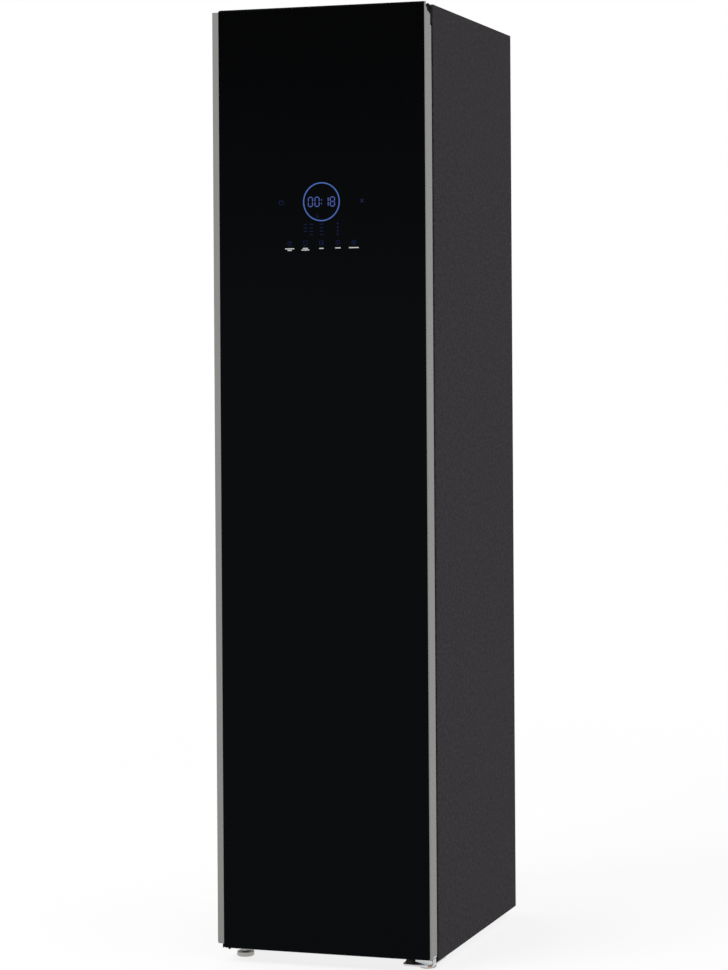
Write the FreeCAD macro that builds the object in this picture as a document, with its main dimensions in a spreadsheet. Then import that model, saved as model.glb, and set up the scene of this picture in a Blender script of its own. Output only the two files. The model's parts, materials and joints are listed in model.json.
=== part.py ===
import FreeCAD, Part
import math
import os
import types

import Sketcher

# A clothes care steam cabinet: a steel cabinet with a moulded steam chamber above a bay for two water
# tanks, a heat pump behind the bay, a rail that shakes the hangers, and one full-height glass door.
# Origin: centre of the bounding box, on the floor. +X is right, -Y is the door side, +Z is up.

# Driving dimensions in millimetres (angles in degrees, counts as plain numbers). Every one is a cell of
# the spreadsheet, and the sub-parts are bound to the cells.
DIMS = {
    # whole cabinet
    "width": 436, "depth": 590, "height": 1850,
    "play": 0.5, "running_gap": 0.3, "bore_gap": 0.05, "fit_gap": 0.2,
    # steel casing
    "skin": 1.2, "base_level": 17.5, "base_plate": 2, "panel_foot": 18, "panel_top": 1849,
    "cover_top": 1844.6, "cover_skirt": 15, "front_return": 18, "rear_return": 12, "bend": 2,
    "rear_inset": 2.2, "hinge_notch": 4, "base_rim": 24, "kick_height": 40, "boss_reach": 10,
    "boss_round": 11,
    "cover_margin": 1, "rib_half": 12, "rib_pitch": 120, "rib_low": 420, "rib_high": 1780,
    "vent_left": -150, "vent_pitch": 140, "vent_long": 120, "vent_slot": 6, "vent_low": 190,
    "vent_rise": 144, "vent_rows": 10,
    # levelling feet
    "foot_side": 188, "foot_front": 225, "foot_rear": 245, "rear_foot_side": 182,
    "foot_round": 17.2, "rear_foot_round": 13, "foot_disc": 9.6, "foot_edge": 1.6,
    "foot_slope_top": 11, "foot_hex": 9.5, "foot_hex_top": 13.2, "foot_stud": 5, "foot_stud_top": 44,
    # door
    "door_depth": 38, "seal_gap": 7, "door_low": 28.5, "handle_flange": 12.5, "right_lip": 2.8,
    "glass_thick": 4, "glass_inset": 0.4, "glass_high": 1847, "glass_corner": 5,
    "grip_low": 36.4, "grip_high": 1846.5, "grip_round": 4, "profile_wall": 2.4, "grip_reach": 26,
    "right_reach": 18, "flange_low": 33.5, "flange_high": 1806,
    "notch_reach": 10, "taper_drop": 210, "heel_front": 13.5, "heel_high": 33, "heel_slope": 3.5,
    "cap_lip": 2.8, "cap_plug": 14, "cap_wall": 7.2, "cap_chamfer": 2.2, "bottom_lip": 4.3,
    "cap_inset": 3, "bottom_over": 2.5, "hinge_block": 28, "hinge_block_high": 41,
    "hinge_block_low": 31.5, "block_inset": 1.7, "notch_floor": 1843.9, "arm_room": 4,
    "arm_room_front": 0.8, "bush_room": 3, "nub_round": 2.2, "nub_drop": 4.5, "nub_side": 198.4,
    "nub_front": 12, "inner_skin": 2, "skin_low": 30, "relief": 2.5, "relief_side": 165,
    "relief_low": 370, "relief_high": 1740,
    "seal_side": 205, "seal_width": 12, "seal_low": 52, "seal_high": 1796, "seal_lip": 8,
    "lip_thick": 4, "seal_ease": 1,
    "core_low": 62, "core_high": 1800,
    # display module behind the glass
    "dial_level": 1475, "module_half": 100, "module_low": 1368, "module_high": 1532, "module_thick": 13,
    "ring_outer": 38.25, "ring_line": 3, "digit_line": 20, "digit_width": 11.5, "digit_pitch": 14.5,
    "key_level": 1396.5, "key_pitch": 33, "key_round": 5.5, "window_depth": 2, "module_corner": 6,
    "module_room": 2,
    # hinges
    "pin_inset": 14, "pin_depth": 23, "pin_round": 4, "bush_round": 6, "bush_flange": 9,
    "bush_seat": 2.6,
    "hinge_plate": 4, "hinge_left": 54, "hinge_right": 9, "arm_left": 8, "arm_right": 5,
    "hinge_rear": 95, "upper_pin_drop": 32, "lower_pin_rise": 48, "pin_shoulder": 6.5,
    "stop_front": 8, "stop_long": 8, "bolt_inset": 15, "arm_flare": 6, "arm_behind": 4,
    "bush_short": 0.4, "toe_front": 3, "toe_left": 48, "toe_right": 13, "toe_corner": 12,
    "toe_dip": 3, "toe_flat": 8, "toe_round": 4, "lower_plate": 3,
    "web_left": 24.5, "web_rear": 19.1, "web_front": 10, "web_top": 25.6, "web_thick": 2,
    "web_slot": 3.6, "web_slot_end": 3,
    "ear_top": 27.5, "ear_thick": 2, "ear_front": 14, "ear_rear": 31, "ear_screw_y": 24,
    "ear_screw_rise": 5, "ear_head": 0.9,
    "rest_cone_x": 168, "rest_cone_y": 25, "rest_cone_round": 11, "rest_cone_tip": 5, "rest_gap": 0.4,
    # steam chamber
    "liner_wall": 3, "room_half": 178, "room_low": 345, "room_high": 1765, "room_back": 190,
    "flange_half": 199, "liner_flange_low": 322, "liner_flange_high": 1788, "room_corner": 18,
    "ledge_level": 506, "ledge_reach": 10, "ledge_long": 60, "ledge_thick": 6, "ledge_front": 70,
    "ledge_back": 130,
    "slab_gap": 2, "slab_side": 30, "slab_rear": 40, "rail_beam_low": 320, "rail_beam_deep": 20,
    "lamp_half": 106, "lamp_front": 14, "lamp_deep": 20, "lamp_rim": 4, "lamp_sheet": 3, "lamp_plug": 5,
    # hanger drive
    "rail_level": 1700, "rail_y": -30, "rail_round": 11, "rail_half": 150, "collar_round": 13,
    "collar_width": 3, "stem_x": 50, "stem_round": 7, "shake": 15, "slot_room": 3,
    "rod_round": 4, "rod_front": 40, "rod_level": 1790, "rod_half": 124, "carriage_half": 88,
    "carriage_deep": 54, "carriage_thick": 14, "block_size": 20,
    "gear_module": 1.25, "gear_teeth": 18, "gear_width": 12, "gear_backlash": 0.3, "rack_half": 45,
    "rack_rise": 4,
    "gear_pressure": 20, "gear_root": 1.25, "shaft_round": 3, "shaft_grip": 10,
    "gearbox_low": 1802, "gearbox_high": 18, "gearbox_half": 30, "gearbox_front": 12, "gearbox_back": 52,
    "leg_front": 14, "leg_thick": 5, "motor_round": 20, "motor_back": 28, "motor_rise": 21,
    "hanger_pitch": 100, "hook_wall": 4.6, "hook_wide": 8, "hanger_half": 185, "hanger_wide": 24,
    "hanger_neck": 46, "hanger_drop": 118, "hanger_body": 20, "hanger_tip": 5,
    "hook_gap": 0.4, "hook_play": 1, "hook_mouth": 6, "neck_wide": 12, "neck_short": 2,
    # shelf and floor fittings
    "shelf_half": 171, "shelf_front": 12, "shelf_back": 12, "frame_wire": 3, "cross_wire": 2,
    "wire_count": 13, "wire_over": 1,
    "filter_x": 67.5, "filter_half": 87, "filter_deep": 37, "filter_rim": 10, "filter_thick": 3,
    "filter_basket": 10, "filter_bar": 4, "filter_grip": 10, "filter_grip_half": 25, "filter_frame": 5,
    "filter_floor": 2, "filter_margin": 8, "filter_slot": 4, "filter_slots": 20,
    "outlet_x": 117, "outlet_y": 89, "outlet_half": 29, "outlet_rim": 3, "outlet_ease": 2,
    "louvre": 5, "louvre_pitch": 9, "louvre_count": 6, "louvre_margin": 4,
    "nozzle_x": -140, "nozzle_y": 40, "nozzle_round": 16, "nozzle_flange": 24, "nozzle_top": 366,
    "nozzle_plate": 3, "nozzle_stub": 7, "nozzle_bore": 5, "nozzle_mouth": 9, "nozzle_sill": 8,
    # tank bay and tanks
    "bay_half": 196, "bay_low": 62, "bay_high": 318, "bay_back": -62, "bay_flange_low": 60,
    "bay_divider": 2, "bay_wall": 3, "spout_rise": 28, "spout_bore": 4,
    "tank_wide": 176, "tank_deep": 112, "tank_high": 220, "tank_wall": 2.5, "tank_setback": 70,
    "tank_corner": 8, "mouth_wide": 60, "mouth_deep": 40, "grip_wide": 50, "grip_level": 160,
    "grip_bar": 14, "grip_out": 22, "grip_thick": 8, "grip_post": 10,
    # air path and heat pump
    "case_half": 107.5, "case_deep": 50, "case_wall": 2.5, "case_top": 341.5,
    "coil_fins": 22, "fin_thick": 0.8, "fin_margin": 9, "fin_inset": 3, "coil_tube": 4, "tube_pitch": 30,
    "tube_rise": 14, "coil_plate": 2, "cold_low": 272, "hot_low": 205, "coil_high": 54, "duct_hole": 48,
    "fan_level": 130, "fan_housing_deep": 68, "scroll_round": 78, "scroll_top": 206, "inlet_round": 42,
    "drum_round": 60, "blade_inner": 44, "drum_deep": 48, "drum_plate": 2, "blade_count": 24,
    "blade_thick": 1.6, "drum_rim": 3, "drum_over": 2, "hub_round": 10, "hub_deep": 20, "fan_gap": 8,
    "fan_shaft": 4, "shaft_end": 14, "shaft_hole": 8,
    "fan_motor_round": 34, "fan_motor_deep": 45, "motor_rim": 8, "motor_flange": 2,
    "motor_bore": 16, "motor_ease": 3,
    "comp_x": -110, "comp_y": 205, "comp_foot": 36, "comp_round": 58, "comp_high": 150,
    "comp_plate": 4, "comp_foot_x": 50, "comp_foot_y": 48, "comp_foot_reach": 12, "mount_round": 10,
    "comp_step": 6, "comp_seam": 10, "comp_crown": 26, "stub_sunk": 4, "stub_rise": 18, "stub_near": 6,
    "stub_far": 24, "pipe_bend": 12, "pipe_entry": 2,
    "boiler_x": -140, "boiler_wide": 110, "boiler_deep": 90, "boiler_low": 50, "boiler_high": 100,
    "boiler_round": 8, "boiler_leg": 14, "boiler_leg_inset": 10, "steam_rise": 8, "feed_reach": 7,
    "feed_y": 20, "feed_rise": 20,
    "hose_round": 8, "hose_hole": 9, "hose_straight": 60, "hose_drop": 50, "hose_bend": 40,
    "feed_round": 6, "feed_bend": 8, "pipe_round": 4,
    "pump_x": -64, "pump_y": 62, "pump_wide": 32, "pump_deep": 60, "pump_high": 40, "pump_port": 14,
    "port_rise": 3, "port_round": 8, "pump_outlet": 22,
    # electrics
    "board_x": 60, "board_y": 60, "board_wide": 130, "board_deep": 140, "board_level": 1776,
    "board_thick": 1.6, "standoff_inset": 8, "standoff_round": 4,
    "inlet_x": 154, "inlet_level": 101, "inlet_wide": 28, "inlet_high": 22, "inlet_deep": 20,
    "inlet_ear": 9, "inlet_brim": 5, "inlet_wall": 2, "inlet_floor": 3, "inlet_gap": 1,
    "pin_wide": 4, "pin_high": 2, "pin_side": 6, "earth_level": 5, "pin_recess": 4,
    # fasteners
    "screw_round": 2, "screw_head": 3.8, "ear_screw_head": 3.4, "screw_long": 6,
    "bolt_round": 2.5, "bolt_head": 4.5, "bolt_rise": 1.3, "bolt_long": 12,
    "lower_bolt_left": 16, "lower_bolt_step": 25, "lower_bolt_side": 3,
    "upper_bolt_left": 12, "upper_bolt_middle": 22,
    "cover_screw_x": 211, "cover_screw_low": 60, "cover_screw_pitch": 340, "cover_screw_rows": 6,
}


class Size:
    """A length known twice: as a spreadsheet expression and as its value in millimetres."""

    def __init__(self, text, value):
        self.text = text
        self.value = float(value)

    def __add__(self, other):
        other = as_size(other)
        return Size(f"({self.text} + {other.text})", self.value + other.value)

    def __sub__(self, other):
        other = as_size(other)
        return Size(f"({self.text} - {other.text})", self.value - other.value)

    def __mul__(self, other):
        other = as_size(other)
        return Size(f"({self.text} * {other.text})", self.value * other.value)

    def __truediv__(self, other):
        other = as_size(other)
        return Size(f"({self.text} / {other.text})", self.value / other.value)

    def __neg__(self):
        return Size(f"(0 - {self.text})", -self.value)

    def __radd__(self, other):
        return as_size(other) + self

    def __rsub__(self, other):
        return as_size(other) - self

    def __rmul__(self, other):
        return as_size(other) * self


def as_size(amount):
    """A plain number as a Size, and a Size as it is."""
    if isinstance(amount, Size):
        return amount
    return Size(f"({float(amount)!r})", amount)


def span(one, other, side=1):
    """Two distances from the middle plane on one side of it (-1 left, 1 right), lowest first."""
    return sorted([as_size(one) * side, as_size(other) * side], key=lambda amount: amount.value)


DOC = FreeCAD.newDocument("SteamCabinet")
D = types.SimpleNamespace(**{alias: Size(f"Dims.{alias}", value) for alias, value in DIMS.items()})
PARTS = {}

# Planes and places that several sub-parts share.
HALF = D.width / 2
FRONT = -D.depth / 2
BACK = D.depth / 2
DOOR_BACK = FRONT + D.door_depth
CAB_FRONT = DOOR_BACK + D.seal_gap
PANEL_BACK = BACK - D.rear_inset
PANEL_INNER = HALF - D.skin
RETURN_EDGE = HALF - D.front_return
GLASS_LEFT = -HALF + D.handle_flange
GLASS_RIGHT = HALF - D.right_lip
GLASS_FRONT = FRONT + D.glass_inset
GLASS_BACK = GLASS_FRONT + D.glass_thick
DIAL_X = (GLASS_LEFT + GLASS_RIGHT) / 2
PIN_X = HALF - D.pin_inset
PIN_Y = FRONT + D.pin_depth
BASE_TOP = D.base_level + D.base_plate
ROD_BACK_Y = D.rail_y + D.rod_front
ROD_FRONT_Y = D.rail_y - D.rod_front
GEAR_RADIUS = D.gear_module * D.gear_teeth / 2
CARRIAGE_BACK = D.rail_y + D.carriage_deep
PITCH_LINE_Y = CARRIAGE_BACK + D.rack_rise
GEAR_Y = PITCH_LINE_Y + GEAR_RADIUS
GEAR_LOW = D.rod_level - D.gear_width / 2
FAN_BACK = D.case_deep + D.fan_housing_deep
TANK_FRONT = CAB_FRONT + D.tank_setback
BAY_CENTRE = (D.bay_half - D.bay_wall + D.bay_divider) / 2
# Outline of the hinge profile's cut-away top: distances behind the door's front and below its top.
TOP_CUT = [
    (2.5, 0), (1.5, 9), (7.5, 13), (9.5, 17), (18, 18.5), (27.5, 22), (27.5, 42), (33.5, 43),
    (33.5, 105),
]
# Larger parts on the control board: distances from its front left corner, then width, depth and height.
BOARD_PARTS = {
    "board_transformer": (18, 20, 40, 34, 28),
    "board_terminals": (70, 20, 40, 16, 14),
    "board_relays": (18, 74, 30, 30, 12),
    "board_heat_sink": (66, 60, 46, 52, 20),
}
# Centres of the four digits on the display, in digit pitches from its middle.
DIGIT_PLACES = (-1.5, -0.6, 0.9, 1.6)
# Right half of a hanger's upper edge and of its lower one: shares of its half length, of the fall from
# neck to tip, and of its body's depth.
HANGER_UPPER = ((0.12, 0, 0), (0.55, 0.42, 0), (1, 1, 0))
HANGER_LOWER = ((1, 1, 0.6), (0.5, 0.42, 1), (0, 0, 1.1))
HANGER_TIP_DEPTH = 0.3
AXES = {"x": ("YZ_Plane", "X_Axis"), "y": ("XZ_Plane", "Y_Axis"), "z": ("XY_Plane", "Z_Axis")}
TURNS = {
    "x": FreeCAD.Rotation(FreeCAD.Vector(0, 1, 0), 90),
    "y": FreeCAD.Rotation(FreeCAD.Vector(1, 0, 0), -90),
    "z": FreeCAD.Rotation(),
}


def make_sheet():
    """The driving dimensions, one alias per cell."""
    sheet = DOC.addObject("Spreadsheet::Sheet", "Dims")
    for row, (alias, value) in enumerate(DIMS.items(), start=1):
        sheet.set(f"A{row}", alias)
        sheet.set(f"B{row}", str(value))
        sheet.setAlias(f"B{row}", alias)
    DOC.recompute()


def bind(thing, **sizes):
    """Binds properties of a document object to expressions over the sheet."""
    for name, amount in sizes.items():
        thing.setExpression(name, as_size(amount).text)


def place(thing, at):
    """Binds where a document object stands."""
    for letter, amount in zip("xyz", at):
        thing.setExpression(f"Placement.Base.{letter}", as_size(amount).text)


def keep(label, thing):
    """Registers a finished sub-part under the name of its file."""
    thing.Label = label
    PARTS[label] = thing
    return thing


class Disc:
    """A full circle as a sketch outline."""

    def __init__(self, u, v, radius):
        self.u = as_size(u)
        self.v = as_size(v)
        self.radius = as_size(radius)


def rect(low_u, low_v, high_u, high_v):
    """The four corners of an upright rectangle."""
    return [(low_u, low_v), (high_u, low_v), (high_u, high_v), (low_u, high_v)]


def hexagon(half_across):
    """The six corners of a hexagon round the origin, from half its width across corners."""
    shoulder = half_across / 2
    flat = half_across * math.sqrt(3) / 2
    return [(half_across, 0), (shoulder, flat), (-shoulder, flat),
            (-half_across, 0), (-shoulder, -flat), (shoulder, -flat)]


def hold_point(sketch, element, spot, u, v):
    """Holds one sketch point at two bound distances from the sketch's origin."""
    for kind, amount in (("DistanceX", as_size(u)), ("DistanceY", as_size(v))):
        rule = sketch.addConstraint(Sketcher.Constraint(kind, -1, 1, element, spot, amount.value))
        sketch.setExpression(f"Constraints[{rule}]", amount.text)


def draw_disc(sketch, disc):
    """Adds a circle held by its centre and radius."""
    centre = FreeCAD.Vector(disc.u.value, disc.v.value, 0)
    circle = Part.Circle(centre, FreeCAD.Vector(0, 0, 1), disc.radius.value)
    element = sketch.addGeometry(circle, False)
    hold_point(sketch, element, 3, disc.u, disc.v)
    rule = sketch.addConstraint(Sketcher.Constraint("Radius", element, disc.radius.value))
    sketch.setExpression(f"Constraints[{rule}]", disc.radius.text)


def draw_polygon(sketch, corners):
    """Adds a closed outline of straight sides, each corner held in place."""
    spots = [FreeCAD.Vector(as_size(u).value, as_size(v).value, 0) for u, v in corners]
    sides = [
        sketch.addGeometry(Part.LineSegment(spot, spots[(k + 1) % len(spots)]), False)
        for k, spot in enumerate(spots)
    ]
    for k, (u, v) in enumerate(corners):
        sketch.addConstraint(Sketcher.Constraint("Coincident", sides[k - 1], 2, sides[k], 1))
        hold_point(sketch, sides[k], 1, u, v)


class Piece:
    """One PartDesign body, padded and pocketed between two levels along the X, Y or Z axis."""

    def __init__(self, label, at=None):
        self.body = DOC.addObject("PartDesign::Body", label)
        keep(label, self.body)
        if at:
            place(self.body, at)

    def origin(self, role):
        return next(item for item in self.body.Origin.OriginFeatures if item.Role == role)

    def sketch(self, axis, level, outlines):
        """A sketch square to an axis. Its u, v are the other two axes, in X, Y, Z order."""
        sketch = self.body.newObject("Sketcher::SketchObject", f"{self.body.Name}_sketch")
        sketch.AttachmentSupport = [(self.origin(AXES[axis][0]), "")]
        sketch.MapMode = "FlatFace"
        lift = -as_size(level) if axis == "y" else as_size(level)
        sketch.setExpression("AttachmentOffset.Base.z", lift.text)
        for outline in outlines:
            if isinstance(outline, Disc):
                draw_disc(sketch, outline)
            else:
                draw_polygon(sketch, outline)
        return sketch

    def extrude(self, kind, axis, low, high, outlines, flip):
        feature = self.body.newObject(f"PartDesign::{kind}", f"{self.body.Name}_{kind}")
        feature.Profile = self.sketch(axis, low, outlines)
        bind(feature, Length=as_size(high) - low)
        feature.Reversed = flip
        self.body.Tip = feature
        DOC.recompute()
        return feature

    def pad(self, axis, low, high, *outlines):
        return self.extrude("Pad", axis, low, high, outlines, axis == "y")

    def pocket(self, axis, low, high, *outlines):
        return self.extrude("Pocket", axis, low, high, outlines, axis != "y")

    def revolve(self, outline):
        """Turns a half outline of radius and height about the body's own Z axis."""
        feature = self.body.newObject("PartDesign::Revolution", f"{self.body.Name}_Revolution")
        feature.Profile = self.sketch("y", 0, [outline])
        feature.ReferenceAxis = (self.origin("Z_Axis"), [""])
        feature.Angle = 360
        self.body.Tip = feature
        DOC.recompute()
        return feature

    def row(self, feature, axis, span, count):
        """Repeats a feature in a straight row whose first and last are a span apart."""
        pattern = self.body.newObject("PartDesign::LinearPattern", f"{self.body.Name}_row")
        pattern.Originals = [feature]
        pattern.Direction = (self.origin(AXES[axis][1]), [""])
        bind(pattern, Length=span, Occurrences=count)
        self.body.Tip = pattern
        DOC.recompute()
        return pattern

    def wheel(self, feature, axis, count):
        """Repeats a feature evenly round one of the body's own axes."""
        pattern = self.body.newObject("PartDesign::PolarPattern", f"{self.body.Name}_wheel")
        pattern.Originals = [feature]
        pattern.Axis = (self.origin(AXES[axis][1]), [""])
        pattern.Angle = 360
        bind(pattern, Occurrences=count)
        self.body.Tip = pattern
        DOC.recompute()
        return pattern

    def round(self, radius, chosen, kind="Fillet"):
        """Fillets or chamfers the edges that chosen(edge) picks."""
        tip = self.body.Tip
        names = [f"Edge{k}" for k, edge in enumerate(tip.Shape.Edges, start=1) if chosen(edge)]
        feature = self.body.newObject(f"PartDesign::{kind}", f"{self.body.Name}_{kind}")
        feature.Base = (tip, names)
        bind(feature, **{"Radius" if kind == "Fillet" else "Size": radius})
        self.body.Tip = feature
        DOC.recompute()
        return feature


def along(edge, axis):
    """Whether an edge is straight and runs along that axis."""
    box = edge.BoundBox
    spans = {"x": box.XLength, "y": box.YLength, "z": box.ZLength}
    longest = spans.pop(axis)
    return longest > 0 and max(spans.values()) < 1e-6


def unlisted(piece):
    """The body of a piece that is only a portion of a sub-part."""
    return PARTS.pop(piece.body.Label)


def near(value, amount):
    """Whether a coordinate lies on a plane."""
    return abs(value - as_size(amount).value) < 1e-4


def block(name, low, high):
    """A box between its lowest and highest corners."""
    box = DOC.addObject("Part::Box", name)
    sizes = [as_size(top) - bottom for bottom, top in zip(low, high)]
    bind(box, Length=sizes[0], Width=sizes[1], Height=sizes[2])
    place(box, low)
    return box


def rod(name, start, length, radius, axis="z"):
    """A cylinder from a start point along an axis."""
    cylinder = DOC.addObject("Part::Cylinder", name)
    cylinder.Placement = FreeCAD.Placement(FreeCAD.Vector(), TURNS[axis])
    bind(cylinder, Radius=radius, Height=length)
    place(cylinder, start)
    return cylinder


def cone(name, start, length, low_radius, high_radius):
    """An upright cone from its lower centre."""
    solid = DOC.addObject("Part::Cone", name)
    bind(solid, Radius1=low_radius, Radius2=high_radius, Height=length)
    place(solid, start)
    return solid


def fuse(name, shapes):
    """One solid from several that touch."""
    result = DOC.addObject("Part::MultiFuse", name)
    result.Shapes = shapes
    return result


def group(name, shapes):
    """Several separate solids under one name."""
    result = DOC.addObject("Part::Compound", name)
    result.Links = shapes
    return result


def cut(name, base, tools):
    """A solid with other solids taken out of it."""
    result = DOC.addObject("Part::Cut", name)
    result.Base = base
    result.Tool = tools[0] if len(tools) == 1 else fuse(f"{name}_tool", tools)
    return result


def shaped(name, shape, at=(0, 0, 0)):
    """A sub-part whose shape Part's own functions made from the sheet's values."""
    feature = DOC.addObject("Part::Feature", name)
    feature.Shape = shape
    feature.Placement = FreeCAD.Placement()
    place(feature, at)
    return keep(name, feature)


# ---------------------------------------------------------------- steel casing


def foot_places():
    """The four feet by name, as X and Y."""
    return {
        "front_left_foot": (-D.foot_side, -D.foot_front),
        "front_right_foot": (D.foot_side, -D.foot_front),
        "rear_left_foot": (-D.rear_foot_side, D.foot_rear),
        "rear_right_foot": (D.rear_foot_side, D.foot_rear),
    }


def lower_bolt_places():
    """Where bolts hold the lower hinge bracket to the base."""
    left = PIN_X - D.hinge_left + D.lower_bolt_left
    rear = FRONT + D.hinge_rear - D.bolt_inset
    return [(left, rear), (left, rear - D.lower_bolt_step), (PIN_X + D.lower_bolt_side, rear)]


def upper_bolt_places():
    """Where bolts hold the upper hinge bracket to the top cover."""
    rear = FRONT + D.hinge_rear - D.bolt_inset
    left = PIN_X - D.hinge_left + D.upper_bolt_left
    return [(left, rear), (PIN_X - D.upper_bolt_middle, rear), (PIN_X, rear)]


def cover_screw_levels():
    """Heights of the rear cover's screws, the same on both edges."""
    return [D.cover_screw_low + D.cover_screw_pitch * k for k in range(DIMS["cover_screw_rows"])]


def side_panel(label, side):
    """Folded sheet: wall, front return behind the door and rear return for the cover."""
    front_edge = RETURN_EDGE * side
    rear_edge = (HALF - D.rear_return) * side
    outer = HALF * side
    inner = PANEL_INNER * side
    panel = Piece(label)
    panel.pad("z", D.panel_foot, D.panel_top, [
        (outer, CAB_FRONT), (front_edge, CAB_FRONT), (front_edge, CAB_FRONT + D.skin),
        (inner, CAB_FRONT + D.skin), (inner, PANEL_BACK - D.skin), (rear_edge, PANEL_BACK - D.skin),
        (rear_edge, PANEL_BACK), (outer, PANEL_BACK),
    ])
    panel.pocket("y", PANEL_BACK - D.skin, PANEL_BACK, *[
        Disc(D.cover_screw_x * side, level, D.screw_round) for level in cover_screw_levels()
    ])
    panel.round(D.bend, lambda edge: along(edge, "z") and near(edge.CenterOfMass.x, outer))
    low_x, high_x = span(RETURN_EDGE, HALF - D.hinge_notch, side)
    panel.pocket("y", CAB_FRONT, CAB_FRONT + D.skin,
                 rect(low_x, D.cover_top - D.running_gap, high_x, D.panel_top))


def pan():
    """Half widths, front and rear of a pan that fits inside the folded side panels, and its outline."""
    edge = PANEL_INNER - D.running_gap
    tongue = RETURN_EDGE - D.play
    front = CAB_FRONT + D.skin + D.running_gap
    rear = PANEL_BACK - D.skin - D.running_gap
    outline = [
        (-tongue, CAB_FRONT), (tongue, CAB_FRONT), (tongue, front), (edge, front),
        (edge, rear), (-edge, rear), (-edge, front), (-tongue, front),
    ]
    return edge, tongue, front, rear, outline


def top_cover():
    """Pan that closes the top, with a deep front skirt down to the chamber's flange."""
    edge, tongue, front, rear, outline = pan()
    low = D.cover_top - D.cover_skirt
    cover = Piece("top_cover")
    cover.pad("z", D.cover_top - D.skin, D.cover_top, outline)
    cover.pad("y", CAB_FRONT, CAB_FRONT + D.skin,
              rect(-tongue, D.liner_flange_high + D.play, tongue, D.cover_top))
    cover.pad("y", rear - D.skin, rear, rect(-edge, low, edge, D.cover_top))
    for side in (-1, 1):
        cover.pad("x", *span(edge, edge - D.skin, side), rect(front, low, rear, D.cover_top))
    cover.pocket("z", D.cover_top - D.skin, D.cover_top,
                 *[Disc(x, y, D.bolt_round) for x, y in upper_bolt_places()])


def rear_cover():
    """Back sheet with stiffening ribs, machine-room vents and the mains inlet's cut-out."""
    outer = PANEL_BACK + D.skin
    side = HALF - D.cover_margin
    cover = Piece("rear_cover")
    cover.pad("y", PANEL_BACK, outer, rect(-side, D.panel_foot + 2, side, D.cover_top - D.cover_margin))
    for k in (-1, 0, 1):
        middle = D.rib_pitch * k
        cover.pad("y", outer, BACK,
                  rect(middle - D.rib_half, D.rib_low, middle + D.rib_half, D.rib_high))
    for left in (D.vent_left, D.vent_left + D.vent_pitch):
        slot = cover.pocket("y", PANEL_BACK, outer,
                            rect(left, D.vent_low, left + D.vent_long, D.vent_low + D.vent_slot))
        cover.row(slot, "z", D.vent_rise, D.vent_rows)
    cover.pocket("y", PANEL_BACK, outer, *[
        Disc(D.cover_screw_x * side, level, D.screw_round)
        for side in (-1, 1) for level in cover_screw_levels()
    ])
    half_wide = D.inlet_wide / 2 + D.inlet_gap
    half_high = D.inlet_high / 2 + D.inlet_gap
    cover.pocket("y", PANEL_BACK, outer, rect(
        D.inlet_x - half_wide, D.inlet_level - half_high,
        D.inlet_x + half_wide, D.inlet_level + half_high))


def base_frame():
    """Bottom tray with rims, kick plate and threaded bosses for the feet."""
    edge, tongue, front, rear, outline = pan()
    rim_top = D.base_level + D.base_rim
    base = Piece("base_frame")
    base.pad("z", D.base_level, BASE_TOP, outline)
    base.pad("y", CAB_FRONT, CAB_FRONT + D.base_plate,
             rect(-tongue, D.base_level, tongue, D.base_level + D.kick_height))
    base.pad("y", rear - D.base_plate, rear, rect(-edge, D.base_level, edge, rim_top))
    for side in (-1, 1):
        base.pad("x", *span(edge, edge - D.base_plate, side), rect(front, D.base_level, rear, rim_top))
    feet = foot_places().values()
    base.pad("z", BASE_TOP, BASE_TOP + D.boss_reach, *[Disc(x, y, D.boss_round) for x, y in feet])
    base.pocket("z", D.base_level, BASE_TOP + D.boss_reach,
                *[Disc(x, y, D.foot_stud + D.running_gap) for x, y in feet])
    base.pocket("z", D.base_level, BASE_TOP,
                *[Disc(x, y, D.bolt_round) for x, y in lower_bolt_places()])


def front_cross_rail():
    """Steel channel across the front, between the chamber and the tank bay."""
    end = PANEL_INNER - D.play
    near_face = CAB_FRONT + D.liner_wall + D.running_gap
    far_face = near_face + D.rail_beam_deep
    low = D.rail_beam_low
    high = D.room_low - D.liner_wall - D.play
    web = near_face + D.skin
    rail = Piece("front_cross_rail")
    rail.pad("x", -end, end, [
        (near_face, low), (far_face, low), (far_face, low + D.skin), (web, low + D.skin),
        (web, high - D.skin), (far_face, high - D.skin), (far_face, high), (near_face, high),
    ])


def feet():
    """Levelling feet: disc, hexagon and threaded stud, turned about Z; the rear ones have smaller discs."""
    for label, (x, y) in foot_places().items():
        foot = Piece(label, at=(x, y, 0))
        disc = D.rear_foot_round if label.startswith("rear") else D.foot_round
        foot.revolve([
            (0, 0), (disc - D.foot_edge, 0), (disc, D.foot_edge), (disc, D.foot_disc - D.foot_edge),
            (disc - D.foot_edge, D.foot_disc), (D.foot_hex + 1, D.foot_slope_top),
            (D.foot_stud, D.foot_slope_top), (D.foot_stud, D.foot_stud_top), (0, D.foot_stud_top),
        ])
        foot.pad("z", D.foot_slope_top - 1, D.foot_hex_top, hexagon(D.foot_hex))


# ---------------------------------------------------------------- chamber and tank bay


def shelf_ledges():
    """Where the four ledges start along Y."""
    return [D.room_back - D.ledge_back, CAB_FRONT + D.ledge_front]


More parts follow.
